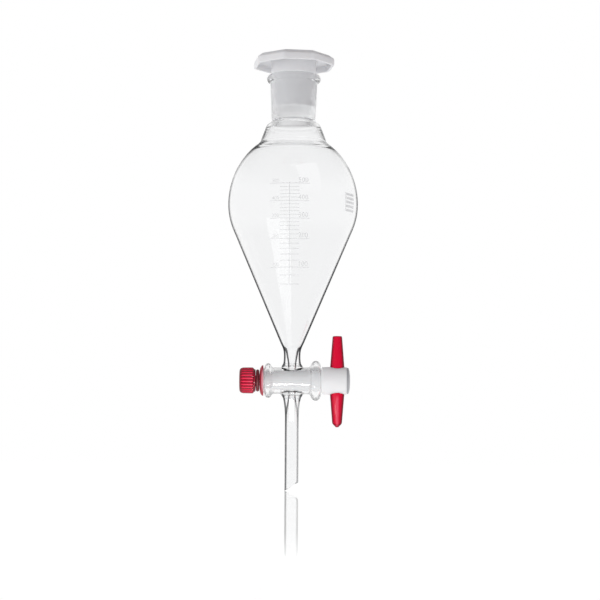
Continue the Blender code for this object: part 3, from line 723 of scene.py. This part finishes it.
def mark(shape, start, end, low, high, lift=0.03 * MM):
    """A printed bar between two distances along the surface and two heights."""
    across = max(2, int(abs(end - start) / (1.2 * MM)) + 1)
    up = max(1, int((high - low) / (1.5 * MM)))
    rows = []
    for j in range(up + 1):
        z = low + (high - low) * j / up
        row = []
        for i in range(across + 1):
            row.append(shape.verts.new(on_bulb(start + (end - start) * i / across, z, lift)))
        rows.append(row)
    for j in range(up):
        for i in range(across):
            shape.faces.new((rows[j][i], rows[j][i + 1], rows[j + 1][i + 1], rows[j + 1][i]))


def make_scale(finish_material):
    shape = bmesh.new()
    half = LINE_HALF_WIDTH
    line_top = level(LAST_MARK) + 1.0 * MM
    mark(shape, SCALE_MIDDLE - half, SCALE_MIDDLE + half, level(FIRST_MARK), line_top)
    for volume in range(FIRST_MARK, LAST_MARK + 1, MARK_STEP):
        z = level(volume)
        reach = MINOR_HALF_LENGTH if volume % FIGURE_STEP else MAJOR_HALF_LENGTH
        mark(shape, SCALE_MIDDLE - reach, SCALE_MIDDLE + reach, z - half, z + half)
    for i in range(5):
        z = (PRINT_FOOT + 0.2 + BAR_PITCH * i) * MM
        mark(shape, PRINT_LEFT, PRINT_RIGHT, z, z + BAR_HEIGHT * MM)
    foot = PRINT_FOOT * MM
    top = (PRINT_FOOT + PRINT_HEIGHT) * MM
    mark(shape, PRINT_LEFT - 0.8 * MM, PRINT_LEFT - 0.2 * MM, foot, top)
    scale = placed("scale", shape)
    scale.data.materials.append(finish_material)
    scale.data.shade_smooth()
    return scale


def make_digits(finish_material):
    """The figures 100 to 500, beside their graduations."""
    made = []
    for volume in range(FIGURE_STEP, LAST_MARK + 1, FIGURE_STEP):
        text = bpy.data.curves.new("figure", "FONT")
        text.body = str(volume)
        text.size = FIGURE_HEIGHT
        text.resolution_u = 3
        writing = bpy.data.objects.new("figure", text)
        bpy.context.scene.collection.objects.link(writing)
        bpy.context.view_layer.update()
        graph = bpy.context.evaluated_depsgraph_get()
        mesh = bpy.data.meshes.new_from_object(writing.evaluated_get(graph))
        bpy.data.objects.remove(writing)
        z = level(volume) + 0.9 * MM
        for side, start, size in (("right", 4.0 * MM, 1.0), ("left", -16.5 * MM, 0.72)):
            copied = mesh.copy()
            for vertex in copied.vertices:
                vertex.co = on_bulb(start + size * vertex.co.x, z + size * vertex.co.y, 0.04 * MM)
            digits = bpy.data.objects.new(f"figures_{volume}_{side}", copied)
            bpy.context.scene.collection.objects.link(digits)
            digits.data.materials.clear()
            digits.data.materials.append(finish_material)
            made.append(digits)
    return made


# ---------------------------------------------------------------- materials


class Nodes:
    """Short ways to add and join the nodes of a tree."""

    def __init__(self, tree):
        self.tree = tree

    def add(self, kind):
        return self.tree.nodes.new("ShaderNode" + kind)

    def join(self, value, socket):
        if isinstance(value, bpy.types.NodeSocket):
            self.tree.links.new(value, socket)
        else:
            socket.default_value = value

    def maths(self, operation, first, second=0.0, third=0.0):
        node = self.add("Math")
        node.operation = operation
        for value, socket in zip((first, second, third), node.inputs):
            self.join(value, socket)
        return node.outputs[0]

    def remap(self, value, low, high, to_low, to_high, smooth=False):
        node = self.add("MapRange")
        node.interpolation_type = "SMOOTHSTEP" if smooth else "LINEAR"
        for number, socket in zip((value, low, high, to_low, to_high), node.inputs):
            self.join(number, socket)
        return node.outputs[0]

    def ramp(self, value, stops):
        """A grey ramp through stops (position, grey), the first at 0 and the last at 1, and its node."""
        node = self.add("ValToRGB")
        self.join(value, node.inputs[0])
        elements = node.color_ramp.elements
        for position, _ in stops[1:-1]:
            elements.new(position)
        for element, (position, grey) in zip(elements, stops):
            element.color = (grey, grey, grey, 1.0)
        return node.outputs[0], node

    def facing(self, normal=None):
        """0 where the surface, or the given direction, is seen face-on, and 1 where it is seen edge-on."""
        node = self.add("LayerWeight")
        node.inputs["Blend"].default_value = 0.5
        if normal is not None:
            self.join(normal, node.inputs["Normal"])
        return node.outputs["Facing"]

    def mix_shaders(self, factor, first, second):
        node = self.add("MixShader")
        for value, socket in zip((factor, first, second), node.inputs):
            self.join(value, socket)
        return node.outputs[0]

    def blend(self, factor, first, second, way="MIX"):
        node = self.add("Mix")
        node.data_type = "RGBA"
        node.blend_type = way
        self.join(factor, node.inputs["Factor"])
        self.join(first, node.inputs[6])
        self.join(second, node.inputs[7])
        return node.outputs[2]

    def distance(self, first, second):
        """The length of the vector (first, second)."""
        squares = [self.maths("MULTIPLY", value, value) for value in (first, second)]
        return self.maths("SQRT", self.maths("ADD", *squares))

    def split(self, vector):
        node = self.add("SeparateXYZ")
        self.join(vector, node.inputs[0])
        return node.outputs


class Finish(Nodes):
    """A material's node tree."""

    def __init__(self, name):
        self.material = bpy.data.materials.new(name)
        self.material.use_nodes = True
        super().__init__(self.material.node_tree)
        self.shader = self.tree.nodes["Principled BSDF"]
        self.output = self.tree.nodes["Material Output"]
        place = self.add("TexCoord")
        self.place = place.outputs["Object"]
        self.normal = place.outputs["Normal"]

    def noise(self, scale, detail=3.0, roughness=0.55):
        node = self.add("TexNoise")
        self.join(self.place, node.inputs["Vector"])
        node.inputs["Scale"].default_value = scale
        node.inputs["Detail"].default_value = detail
        node.inputs["Roughness"].default_value = roughness
        return node.outputs["Fac"]

    def bump(self, height, strength, distance, normal=None):
        node = self.add("Bump")
        node.inputs["Strength"].default_value = strength
        node.inputs["Distance"].default_value = distance
        self.join(height, node.inputs["Height"])
        if normal is not None:
            self.join(normal, node.inputs["Normal"])
        return node.outputs["Normal"]

    def separate(self):
        return self.split(self.place)

    def shows(self, shader):
        """Makes shader the surface, in place of the Principled one."""
        self.join(shader, self.output.inputs["Surface"])

    def set(self, **values):
        for name, value in values.items():
            self.join(value, self.shader.inputs[name.replace("_", " ")])


def glass_edge(f, x, y, z):
    """How dark the painted rim of shade is where an outer face is seen edge-on.

    The share of a tube's width that its wall takes sets how wide the rim is. Near the stopcock the tube is
    the barrel, which lies along X, and elsewhere it stands round Z. The rim fades in a look from above or
    below. How dark it is was fitted to the photograph.
    """
    down = f.maths("SUBTRACT", z, BARREL_Z)
    beside = f.maths("LESS_THAN", f.maths("ABSOLUTE", down), BARREL_REACH)
    aside = f.maths("GREATER_THAN", f.maths("ABSOLUTE", x), BARREL_START)
    barrel = f.maths("MULTIPLY", beside, aside)
    upright = f.maths("SUBTRACT", 1.0, barrel)
    tube = f.add("CombineXYZ")
    f.join(f.maths("MULTIPLY", x, upright), tube.inputs[0])
    f.join(y, tube.inputs[1])
    f.join(f.maths("MULTIPLY", down, barrel), tube.inputs[2])
    facing_out = f.add("VectorMath")
    facing_out.operation = "DOT_PRODUCT"
    f.join(tube.outputs[0], facing_out.inputs[0])
    f.join(f.normal, facing_out.inputs[1])
    from_barrel_axis = f.distance(y, down)
    outside_bore = f.maths("GREATER_THAN", from_barrel_axis, BARREL_RADIUS - 1.2 * MM)
    outward = f.maths("GREATER_THAN", facing_out.outputs["Value"], 0.0)
    outer = f.maths("MULTIPLY", outward, outside_bore)
    length = f.add("VectorMath")
    length.operation = "LENGTH"
    f.join(tube.outputs[0], length.inputs[0])
    radius = f.maths("MAXIMUM", length.outputs["Value"], 4.5 * MM)
    wall = f.maths("DIVIDE", EDGE_WIDTH, radius)
    share = f.maths("MULTIPLY", wall, f.maths("SUBTRACT", 2.0, wall))
    begin = f.maths("SUBTRACT", 1.0, f.maths("SQRT", share))
    low = f.maths("SUBTRACT", begin, 0.04)
    high = f.maths("ADD", begin, 0.10)
    # Painted shade: the rim darkens where the outer face is seen edge-on.
    edge = f.remap(f.facing(), low, high, 0.0, 1.0, smooth=True)

    lowest = EDGE_DARKNESS[0][0]
    highest = EDGE_DARKNESS[-1][0]
    stops = [((height - lowest) / (highest - lowest), darkness) for height, darkness in EDGE_DARKNESS]
    by_height, _ = f.ramp(f.remap(z, lowest * MM, highest * MM, 0.0, 1.0), stops)
    # The painted rim of shade is paler on the right of the stem and of the shoulder.
    on_stem = f.maths("LESS_THAN", z, BARREL_Z - BARREL_REACH)
    on_right = f.maths("GREATER_THAN", x, 0.0)
    on_shoulder = f.maths("GREATER_THAN", z, SHOULDER_START_Z)
    stem_share = f.maths("MULTIPLY", on_stem, STEM_RIGHT_PALER)
    either_share = f.maths("ADD", stem_share, f.maths("MULTIPLY", on_shoulder, SHOULDER_RIGHT_PALER))
    kept = f.maths("SUBTRACT", 1.0, f.maths("MULTIPLY", either_share, on_right))
    there = f.maths("MULTIPLY", f.maths("MULTIPLY", by_height, upright), kept)
    darkness = f.maths("MULTIPLY_ADD", barrel, BARREL_EDGE_DARKNESS, there)
    upward = f.add("CombineXYZ")
    upward.inputs[2].default_value = 1.0
    from_side = f.remap(f.facing(upward.outputs[0]), 0.40, 0.82, 0.12, 1.0, smooth=True)
    shown = f.maths("MULTIPLY", darkness, from_side)
    return f.maths("MULTIPLY", f.maths("MULTIPLY", edge, outer), shown)


def glass_finish():
    """Clear glass: painted dark rims of shade where it is seen edge-on, ground inside the socket, faintly
    uneven.
    """
    f = Finish("clear_glass")
    x, y, z = f.separate()
    across = f.distance(x, y)

    edge = glass_edge(f, x, y, z)

    in_socket = f.maths("LESS_THAN", across, SOCKET_RADIUS + 0.4 * MM)
    ground_foot = RIM_Z - SOCKET_DEPTH - 4.6 * MM
    high_enough = f.remap(z, ground_foot, ground_foot + 0.6 * MM, 0.0, 1.0)
    below_rim = f.remap(z, RIM_Z - 0.9 * MM, RIM_Z - 0.3 * MM, 1.0, 0.0)
    ground = f.maths("MULTIPLY", f.maths("MULTIPLY", in_socket, high_enough), below_rim)

    grit = f.noise(2600.0, 2.0, 0.7)
    waves = f.noise(28.0, 2.0, 0.4)
    haze = f.noise(60.0, 4.0, 0.6)
    smooth_roughness = f.remap(haze, 0.45, 0.8, 0.0, 0.035)
    rough = f.remap(grit, 0.3, 0.7, 0.42, 0.6)
    roughness = f.maths("ADD", f.maths("MULTIPLY", ground, rough), smooth_roughness)

    tint = f.blend(ground, (0.955, 0.957, 0.960, 1.0), (0.97, 0.97, 0.975, 1.0))
    fine = f.bump(grit, 0.25, 0.02 * MM)
    uneven = f.bump(waves, 0.12, 0.6 * MM)
    normal = f.add("Mix")
    normal.data_type = "VECTOR"
    f.join(ground, normal.inputs["Factor"])
    f.join(uneven, normal.inputs[4])
    f.join(fine, normal.inputs[5])
    f.set(Base_Color=tint, Roughness=roughness, IOR=1.473, Transmission_Weight=1.0)
    f.set(Normal=normal.outputs[1])

    # Painted shade: the frosted colour of the ground face darkens where it is seen edge-on.
    frost_slant_shade = f.remap(f.facing(), 0.25, 0.85, 0.0, 1.0, smooth=True)
    frost = f.add("BsdfTranslucent")
    f.join(f.blend(frost_slant_shade, (0.88, 0.88, 0.885, 1.0), (0.60, 0.60, 0.61, 1.0)), frost.inputs["Color"])
    frosted = f.mix_shaders(f.maths("MULTIPLY", ground, 0.8), f.shader.outputs[0], frost.outputs[0])

    # Painted shade: a near-black matt surface laid over the glass where it is seen edge-on.
    dark = f.add("BsdfDiffuse")
    dark.inputs["Color"].default_value = (0.03, 0.032, 0.035, 1.0)
    with_painted_rim = f.mix_shaders(edge, frosted, dark.outputs[0])

    # Light from a matt piece passes straight out through the glass, so that what it holds is lit evenly.
    # The small mouth of the bore beside the key is clear too.
    through = f.add("BsdfTransparent")
    through.inputs["Color"].default_value = (0.95, 0.955, 0.955, 1.0)
    path = f.add("LightPath")
    matt = f.maths("MAXIMUM", path.outputs["Is Diffuse Ray"], path.outputs["Is Shadow Ray"])
    in_mouth = f.maths("LESS_THAN", across, KEY_BORE_RADIUS + 0.45 * MM)
    from_key = f.maths("ABSOLUTE", f.maths("SUBTRACT", z, BARREL_Z))
    beside_key = f.maths("LESS_THAN", from_key, BARREL_RADIUS - 1.2 * MM)
    mouth = f.maths("MULTIPLY", in_mouth, beside_key)
    f.shows(f.mix_shaders(f.maths("MAXIMUM", matt, mouth), with_painted_rim, through.outputs[0]))
    return f.material


def enamel_finish():
    """Thin white-grey enamel, worn a little."""
    f = Finish("scale_enamel")
    wear = f.noise(900.0, 3.0, 0.7)
    patches = f.noise(120.0, 2.0, 0.5)
    colour = f.blend(patches, (0.62, 0.63, 0.65, 1.0), (0.72, 0.73, 0.74, 1.0))
    cover = f.remap(wear, 0.30, 0.42, 0.35, 0.62)
    f.set(Base_Color=colour, Roughness=0.55, Alpha=cover)
    return f.material


def stopper_finish():
    """Milky polyethylene with a satin skin."""
    f = Finish("white_plastic")
    cloud = f.noise(45.0, 3.0, 0.5)
    fine = f.noise(1400.0, 2.0, 0.6)
    scuff = f.noise(220.0, 5.0, 0.7)
    colour = f.blend(cloud, (0.70, 0.70, 0.72, 1.0), (0.76, 0.76, 0.775, 1.0))
    f.set(Base_Color=colour, IOR=1.51)
    f.set(Roughness=f.remap(scuff, 0.35, 0.7, 0.32, 0.5))
    f.set(Subsurface_Weight=0.5, Subsurface_Scale=3.0 * MM)
    f.set(Subsurface_Radius=(1.0, 0.95, 0.9))
    fine_normal = f.bump(fine, 0.12, 0.05 * MM)
    f.set(Normal=f.bump(cloud, 0.15, 0.4 * MM, fine_normal))
    return f.material


def ptfe_finish(name, low, high):
    """Waxy white PTFE with faint turning marks round the stopcock's axis."""
    f = Finish(name)
    x = f.separate()[0]
    wobble = f.noise(160.0, 2.0, 0.5)
    along = f.maths("ADD", x, f.maths("MULTIPLY", wobble, 0.15 * MM))
    cuts = f.maths("SINE", f.maths("MULTIPLY", along, 2 * pi / (0.32 * MM)))
    cloud = f.noise(80.0, 3.0, 0.5)
    colour = f.blend(cloud, low, high)
    f.set(Base_Color=colour, IOR=1.38)
    f.set(Roughness=f.remap(cloud, 0.3, 0.7, 0.34, 0.46))
    f.set(Subsurface_Weight=0.55, Subsurface_Scale=2.5 * MM)
    f.set(Subsurface_Radius=(1.0, 0.95, 0.92))
    f.set(Normal=f.bump(cuts, 0.10, 0.02 * MM))
    return f.material


def red_finish(name, dark, light, edge, coat=0.0, grooves=False, ridge=False):
    """Moulded red plastic: slightly translucent, with a fine moulded grain and soft sheen. Where it is seen
    edge-on its colour turns to edge, a painted shade.

    grooves paints shade into the hollows between the nut's ribs and a painted highlight along their crests,
    and ridge paints a highlight along the ridge of the handle's lower arm.
    """
    f = Finish(name)
    cloud = f.noise(90.0, 3.0, 0.5)
    grain = f.noise(1900.0, 2.0, 0.6)
    rub_and_highlight_noise = f.noise(300.0, 5.0, 0.75)
    # Painted shade: the colour darkens towards edge where the surface is seen edge-on.
    edge_shade_amount = f.remap(f.facing(), 0.06, 0.48, 0.0, 0.92, smooth=True)
    face = f.blend(cloud, dark, light)
    # Painted shade in the hollows between the nut's ribs, and a painted highlight along their crests.
    if grooves:
        _, y, z = f.separate()
        down = f.maths("SUBTRACT", z, BARREL_Z)
        radius = f.distance(y, down)
        painted_groove_shade = f.remap(radius, NUT_RADIUS - 0.65 * MM, NUT_RADIUS - 0.16 * MM, 0.8, 0.0)
        face = f.blend(painted_groove_shade, face, (0.26, 0.001, 0.018, 1.0))
        crest = f.remap(radius, NUT_RADIUS - 0.14 * MM, NUT_RADIUS - 0.02 * MM, 0.0, 0.6)
        face = f.blend(crest, face, (1.0, 0.10, 0.18, 1.0))
    # A painted highlight along the ridge of the handle's lower arm, its edge made uneven by noise.
    if ridge:
        x, _, z = f.separate()
        aside = f.maths("ABSOLUTE", f.maths("SUBTRACT", x, HANDLE_X))
        highlight_wobble = f.maths("MULTIPLY", f.maths("SUBTRACT", rub_and_highlight_noise, 0.5), 1.2 * MM)
        near = f.remap(f.maths("ADD", aside, highlight_wobble), 0.2 * MM, 1.7 * MM, 0.9, 0.0, smooth=True)
        low = f.remap(z, BARREL_Z - HEAD_RADIUS - 4 * MM, BARREL_Z - HEAD_RADIUS, 1.0, 0.0)
        face = f.blend(f.maths("MULTIPLY", near, low), face, (0.95, 0.10, 0.17, 1.0))
    f.set(Base_Color=f.blend(edge_shade_amount, face, edge), IOR=1.5)
    f.set(Specular_IOR_Level=0.1)
    f.set(Roughness=f.remap(rub_and_highlight_noise, 0.3, 0.75, 0.24, 0.38))
    f.set(Subsurface_Weight=0.08, Subsurface_Scale=1.0 * MM, Coat_Weight=coat, Coat_Roughness=0.2)
    f.set(Subsurface_Radius=(1.0, 0.25, 0.2))
    f.set(Normal=f.bump(grain, 0.16, 0.04 * MM))
    return f.material


def cap_finish():
    f = Finish("cap_plastic")
    cloud = f.noise(150.0, 3.0, 0.5)
    grain = f.noise(2200.0, 2.0, 0.6)
    f.set(Base_Color=f.blend(cloud, (0.40, 0.41, 0.43, 1.0), (0.46, 0.47, 0.49, 1.0)))
    f.set(Roughness=f.remap(cloud, 0.3, 0.7, 0.3, 0.42))
    f.set(Normal=f.bump(grain, 0.15, 0.04 * MM))
    return f.material


def rubber_finish():
    f = Finish("dark_red_rubber")
    cloud = f.noise(200.0, 4.0, 0.6)
    grain = f.noise(2600.0, 3.0, 0.7)
    f.set(Base_Color=f.blend(cloud, (0.13, 0.001, 0.008, 1.0), (0.19, 0.003, 0.012, 1.0)))
    f.set(Roughness=f.remap(cloud, 0.3, 0.7, 0.5, 0.7))
    f.set(Normal=f.bump(grain, 0.3, 0.05 * MM))
    return f.material


def floor_finish():
    """A white floor that mirrors the stem only, at a grazing look, and fades away from it."""
    f = Finish("floor_white")
    x, y = f.separate()[:2]
    spread = f.distance(x, y)
    in_front = f.remap(spread, 0.79, 1.12, 0.76, 0.0, smooth=True)
    under_stem = f.remap(f.maths("ABSOLUTE", x), 6.0 * MM, 8.5 * MM, 1.0, 0.0, smooth=True)
    near = f.maths("MULTIPLY", in_front, under_stem)
    fresnel = f.add("Fresnel")
    fresnel.inputs["IOR"].default_value = 1.5
    mirror = f.add("BsdfGlossy")
    mirror.inputs["Color"].default_value = (1.0, 1.0, 1.0, 1.0)
    mirror.inputs["Roughness"].default_value = 0.03
    paint = f.add("Emission")
    paint.inputs["Strength"].default_value = 1.0
    grain = f.noise(9.0, 3.0, 0.5)
    f.join(f.blend(grain, (1.0, 1.0, 1.0, 1.0), (1.03, 1.03, 1.03, 1.0)), paint.inputs["Color"])
    mirrored = f.maths("MULTIPLY", fresnel.outputs[0], near)
    f.shows(f.mix_shaders(mirrored, paint.outputs[0], mirror.outputs[0]))
    return f.material


# ---------------------------------------------------------------- studio


def panel(name, towards, distance, width, height, through_glass, aim, direct):
    """A soft light panel: a plane that faces aim from the direction towards.

    through_glass is its strength where it is seen through glass, and direct where no glass is in front.
    """
    centre = Vector(aim) + Vector(towards).normalized() * distance
    shape = bmesh.new()
    bmesh.ops.create_grid(shape, x_segments=1, y_segments=1, size=0.5)
    obj = placed(name, shape)
    obj.location = centre
    obj.scale = (width, height, 1.0)
    obj.rotation_euler = (Vector(aim) - centre).to_track_quat("-Z", "Y").to_euler()
    obj.visible_camera = False
    obj.visible_diffuse = False
    f = Finish(name)
    depth = f.add("LightPath").outputs["Transmission Depth"]
    emission = f.add("Emission")
    f.join(f.remap(depth, 0.0, 1.0, direct, through_glass), emission.inputs["Strength"])
    f.shows(emission.outputs[0])
    obj.data.materials.append(f.material)


def make_world():
    """White to the camera. To everything else it is white round the horizon and dimmer overhead and below.

    Diffuse light comes more from the left than from the right.
    """
    world = bpy.data.worlds.new("studio")
    bpy.context.scene.world = world
    world.use_nodes = True
    w = Nodes(world.node_tree)
    x, _, z = w.split(w.add("TexCoord").outputs["Generated"])
    grey, ramp = w.ramp(w.remap(z, -1.0, 1.0, 0.0, 1.0), WORLD_GREYS)
    ramp.color_ramp.elements[-1].color = OVERHEAD
    side = w.remap(x, -0.8, 0.8, 0.0, 1.0)
    sideways = w.blend(side, (1.42, 1.42, 1.42, 1.0), (0.46, 0.41, 0.425, 1.0))
    falloff = w.blend(1.0, sideways, w.remap(z, 0.2, 0.9, 1.0, 0.62), "MULTIPLY")
    path = w.add("LightPath")
    lit = w.blend(path.outputs["Is Diffuse Ray"], grey, falloff, "MULTIPLY")
    background = w.tree.nodes["Background"]
    w.join(w.blend(path.outputs["Is Camera Ray"], lit, (1.0, 1.0, 1.0, 1.0)), background.inputs["Color"])
    background.inputs["Strength"].default_value = 1.0


def make_floor(height):
    shape = bmesh.new()
    bmesh.ops.create_circle(shape, cap_ends=True, segments=96, radius=12.0)
    floor = placed("floor", shape)
    floor.location = (0.0, 0.0, height)
    floor.data.materials.append(floor_finish())


def make_camera():
    place = Vector(CAMERA_PLACE)
    look = Vector(CAMERA_TARGET) - place
    data = bpy.data.cameras.new("camera")
    camera = bpy.data.objects.new("camera", data)
    bpy.context.scene.collection.objects.link(camera)
    camera.location = place
    camera.rotation_euler = look.to_track_quat("-Z", "Y").to_euler()
    camera.rotation_euler.rotate_axis("Z", CAMERA_ROLL)
    data.sensor_width = 36.0
    data.lens = data.sensor_width * look.length / CAMERA_VIEW_WIDTH
    data.shift_x = CAMERA_SHIFT
    data.clip_start = 0.01
    bpy.context.scene.camera = camera


# ---------------------------------------------------------------- build

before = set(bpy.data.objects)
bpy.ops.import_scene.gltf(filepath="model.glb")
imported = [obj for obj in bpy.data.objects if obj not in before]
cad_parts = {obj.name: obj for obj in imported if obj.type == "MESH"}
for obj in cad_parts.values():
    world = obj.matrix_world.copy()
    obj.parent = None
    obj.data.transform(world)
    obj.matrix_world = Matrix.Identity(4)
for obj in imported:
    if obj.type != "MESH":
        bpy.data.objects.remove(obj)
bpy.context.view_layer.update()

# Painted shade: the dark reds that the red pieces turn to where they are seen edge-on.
painted_edge_maroon = (0.14, 0.001, 0.010, 1.0)
painted_edge_red = (0.36, 0.002, 0.020, 1.0)
clear_glass = glass_finish()
white_plastic = stopper_finish()
ptfe = ptfe_finish("ptfe", (0.88, 0.88, 0.90, 1.0), (0.94, 0.94, 0.955, 1.0))
washer_ptfe = ptfe_finish("washer_ptfe", (0.86, 0.78, 0.79, 1.0), (0.92, 0.86, 0.87, 1.0))
handle_red = red_finish(
    "red_plastic", (0.76, 0.001, 0.034, 1.0), (0.84, 0.002, 0.044, 1.0), painted_edge_maroon, ridge=True
)
flange_red = red_finish("red_flange_plastic", (0.78, 0.30, 0.36, 1.0), (0.84, 0.36, 0.42, 1.0), painted_edge_red)
nut_red = red_finish(
    "red_nut_plastic", (0.92, 0.006, 0.060, 1.0), (1.0, 0.010, 0.075, 1.0), painted_edge_maroon, coat=0.35, grooves=True
)
pieces = [
    (make_glass(clear_glass), "glass", "glass_body", "clear_glass"),
    (make_stopper(white_plastic), "stopper", "stopper", "white_plastic"),
    (make_key(ptfe), "key", "stopcock_plug", "ptfe"),
    (make_handle(handle_red), "key", "handle", "red_plastic"),
    (make_cap(cap_finish()), "key", "head_end_cap", "cap_plastic"),
    (make_washer(washer_ptfe), "seal_stack", "thrust_washer", "washer_ptfe"),
    (make_flange(flange_red), "seal_stack", "tension_flange", "red_flange_plastic"),
    (make_ring(rubber_finish()), "seal_stack", "sealing_ring", "dark_red_rubber"),
    (make_nut(nut_red), "nut", "retaining_nut", "red_nut_plastic"),
]
for piece, body, node, slot in pieces:
    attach(piece, body)
    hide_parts(node)

enamel = enamel_finish()
for piece in [make_scale(enamel), *make_digits(enamel)]:
    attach(piece, "glass")

make_world()
make_floor(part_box("glass_body")[0].z)
panel(
    "softbox",
    towards=(0.452, -0.645, 0.616),
    distance=1.5,
    width=0.96,
    height=1.09,
    through_glass=1.9,
    aim=(0.0, 0.0, 0.01),
    direct=0.62,
)
panel(
    "strip_below",
    towards=(0.0, -0.126, -0.084),
    distance=0.05,
    width=0.044,
    height=0.0066,
    through_glass=2.0,
    aim=(-5.5 * MM, 0.0, BARREL_Z),
    direct=40.0,
)
make_camera()
scene = bpy.context.scene
scene.view_settings.view_transform = "Standard"
scene.cycles.max_bounces = 24
scene.cycles.transmission_bounces = 24
scene.cycles.glossy_bounces = 12
scene.cycles.diffuse_bounces = 12
scene.cycles.transparent_max_bounces = 24
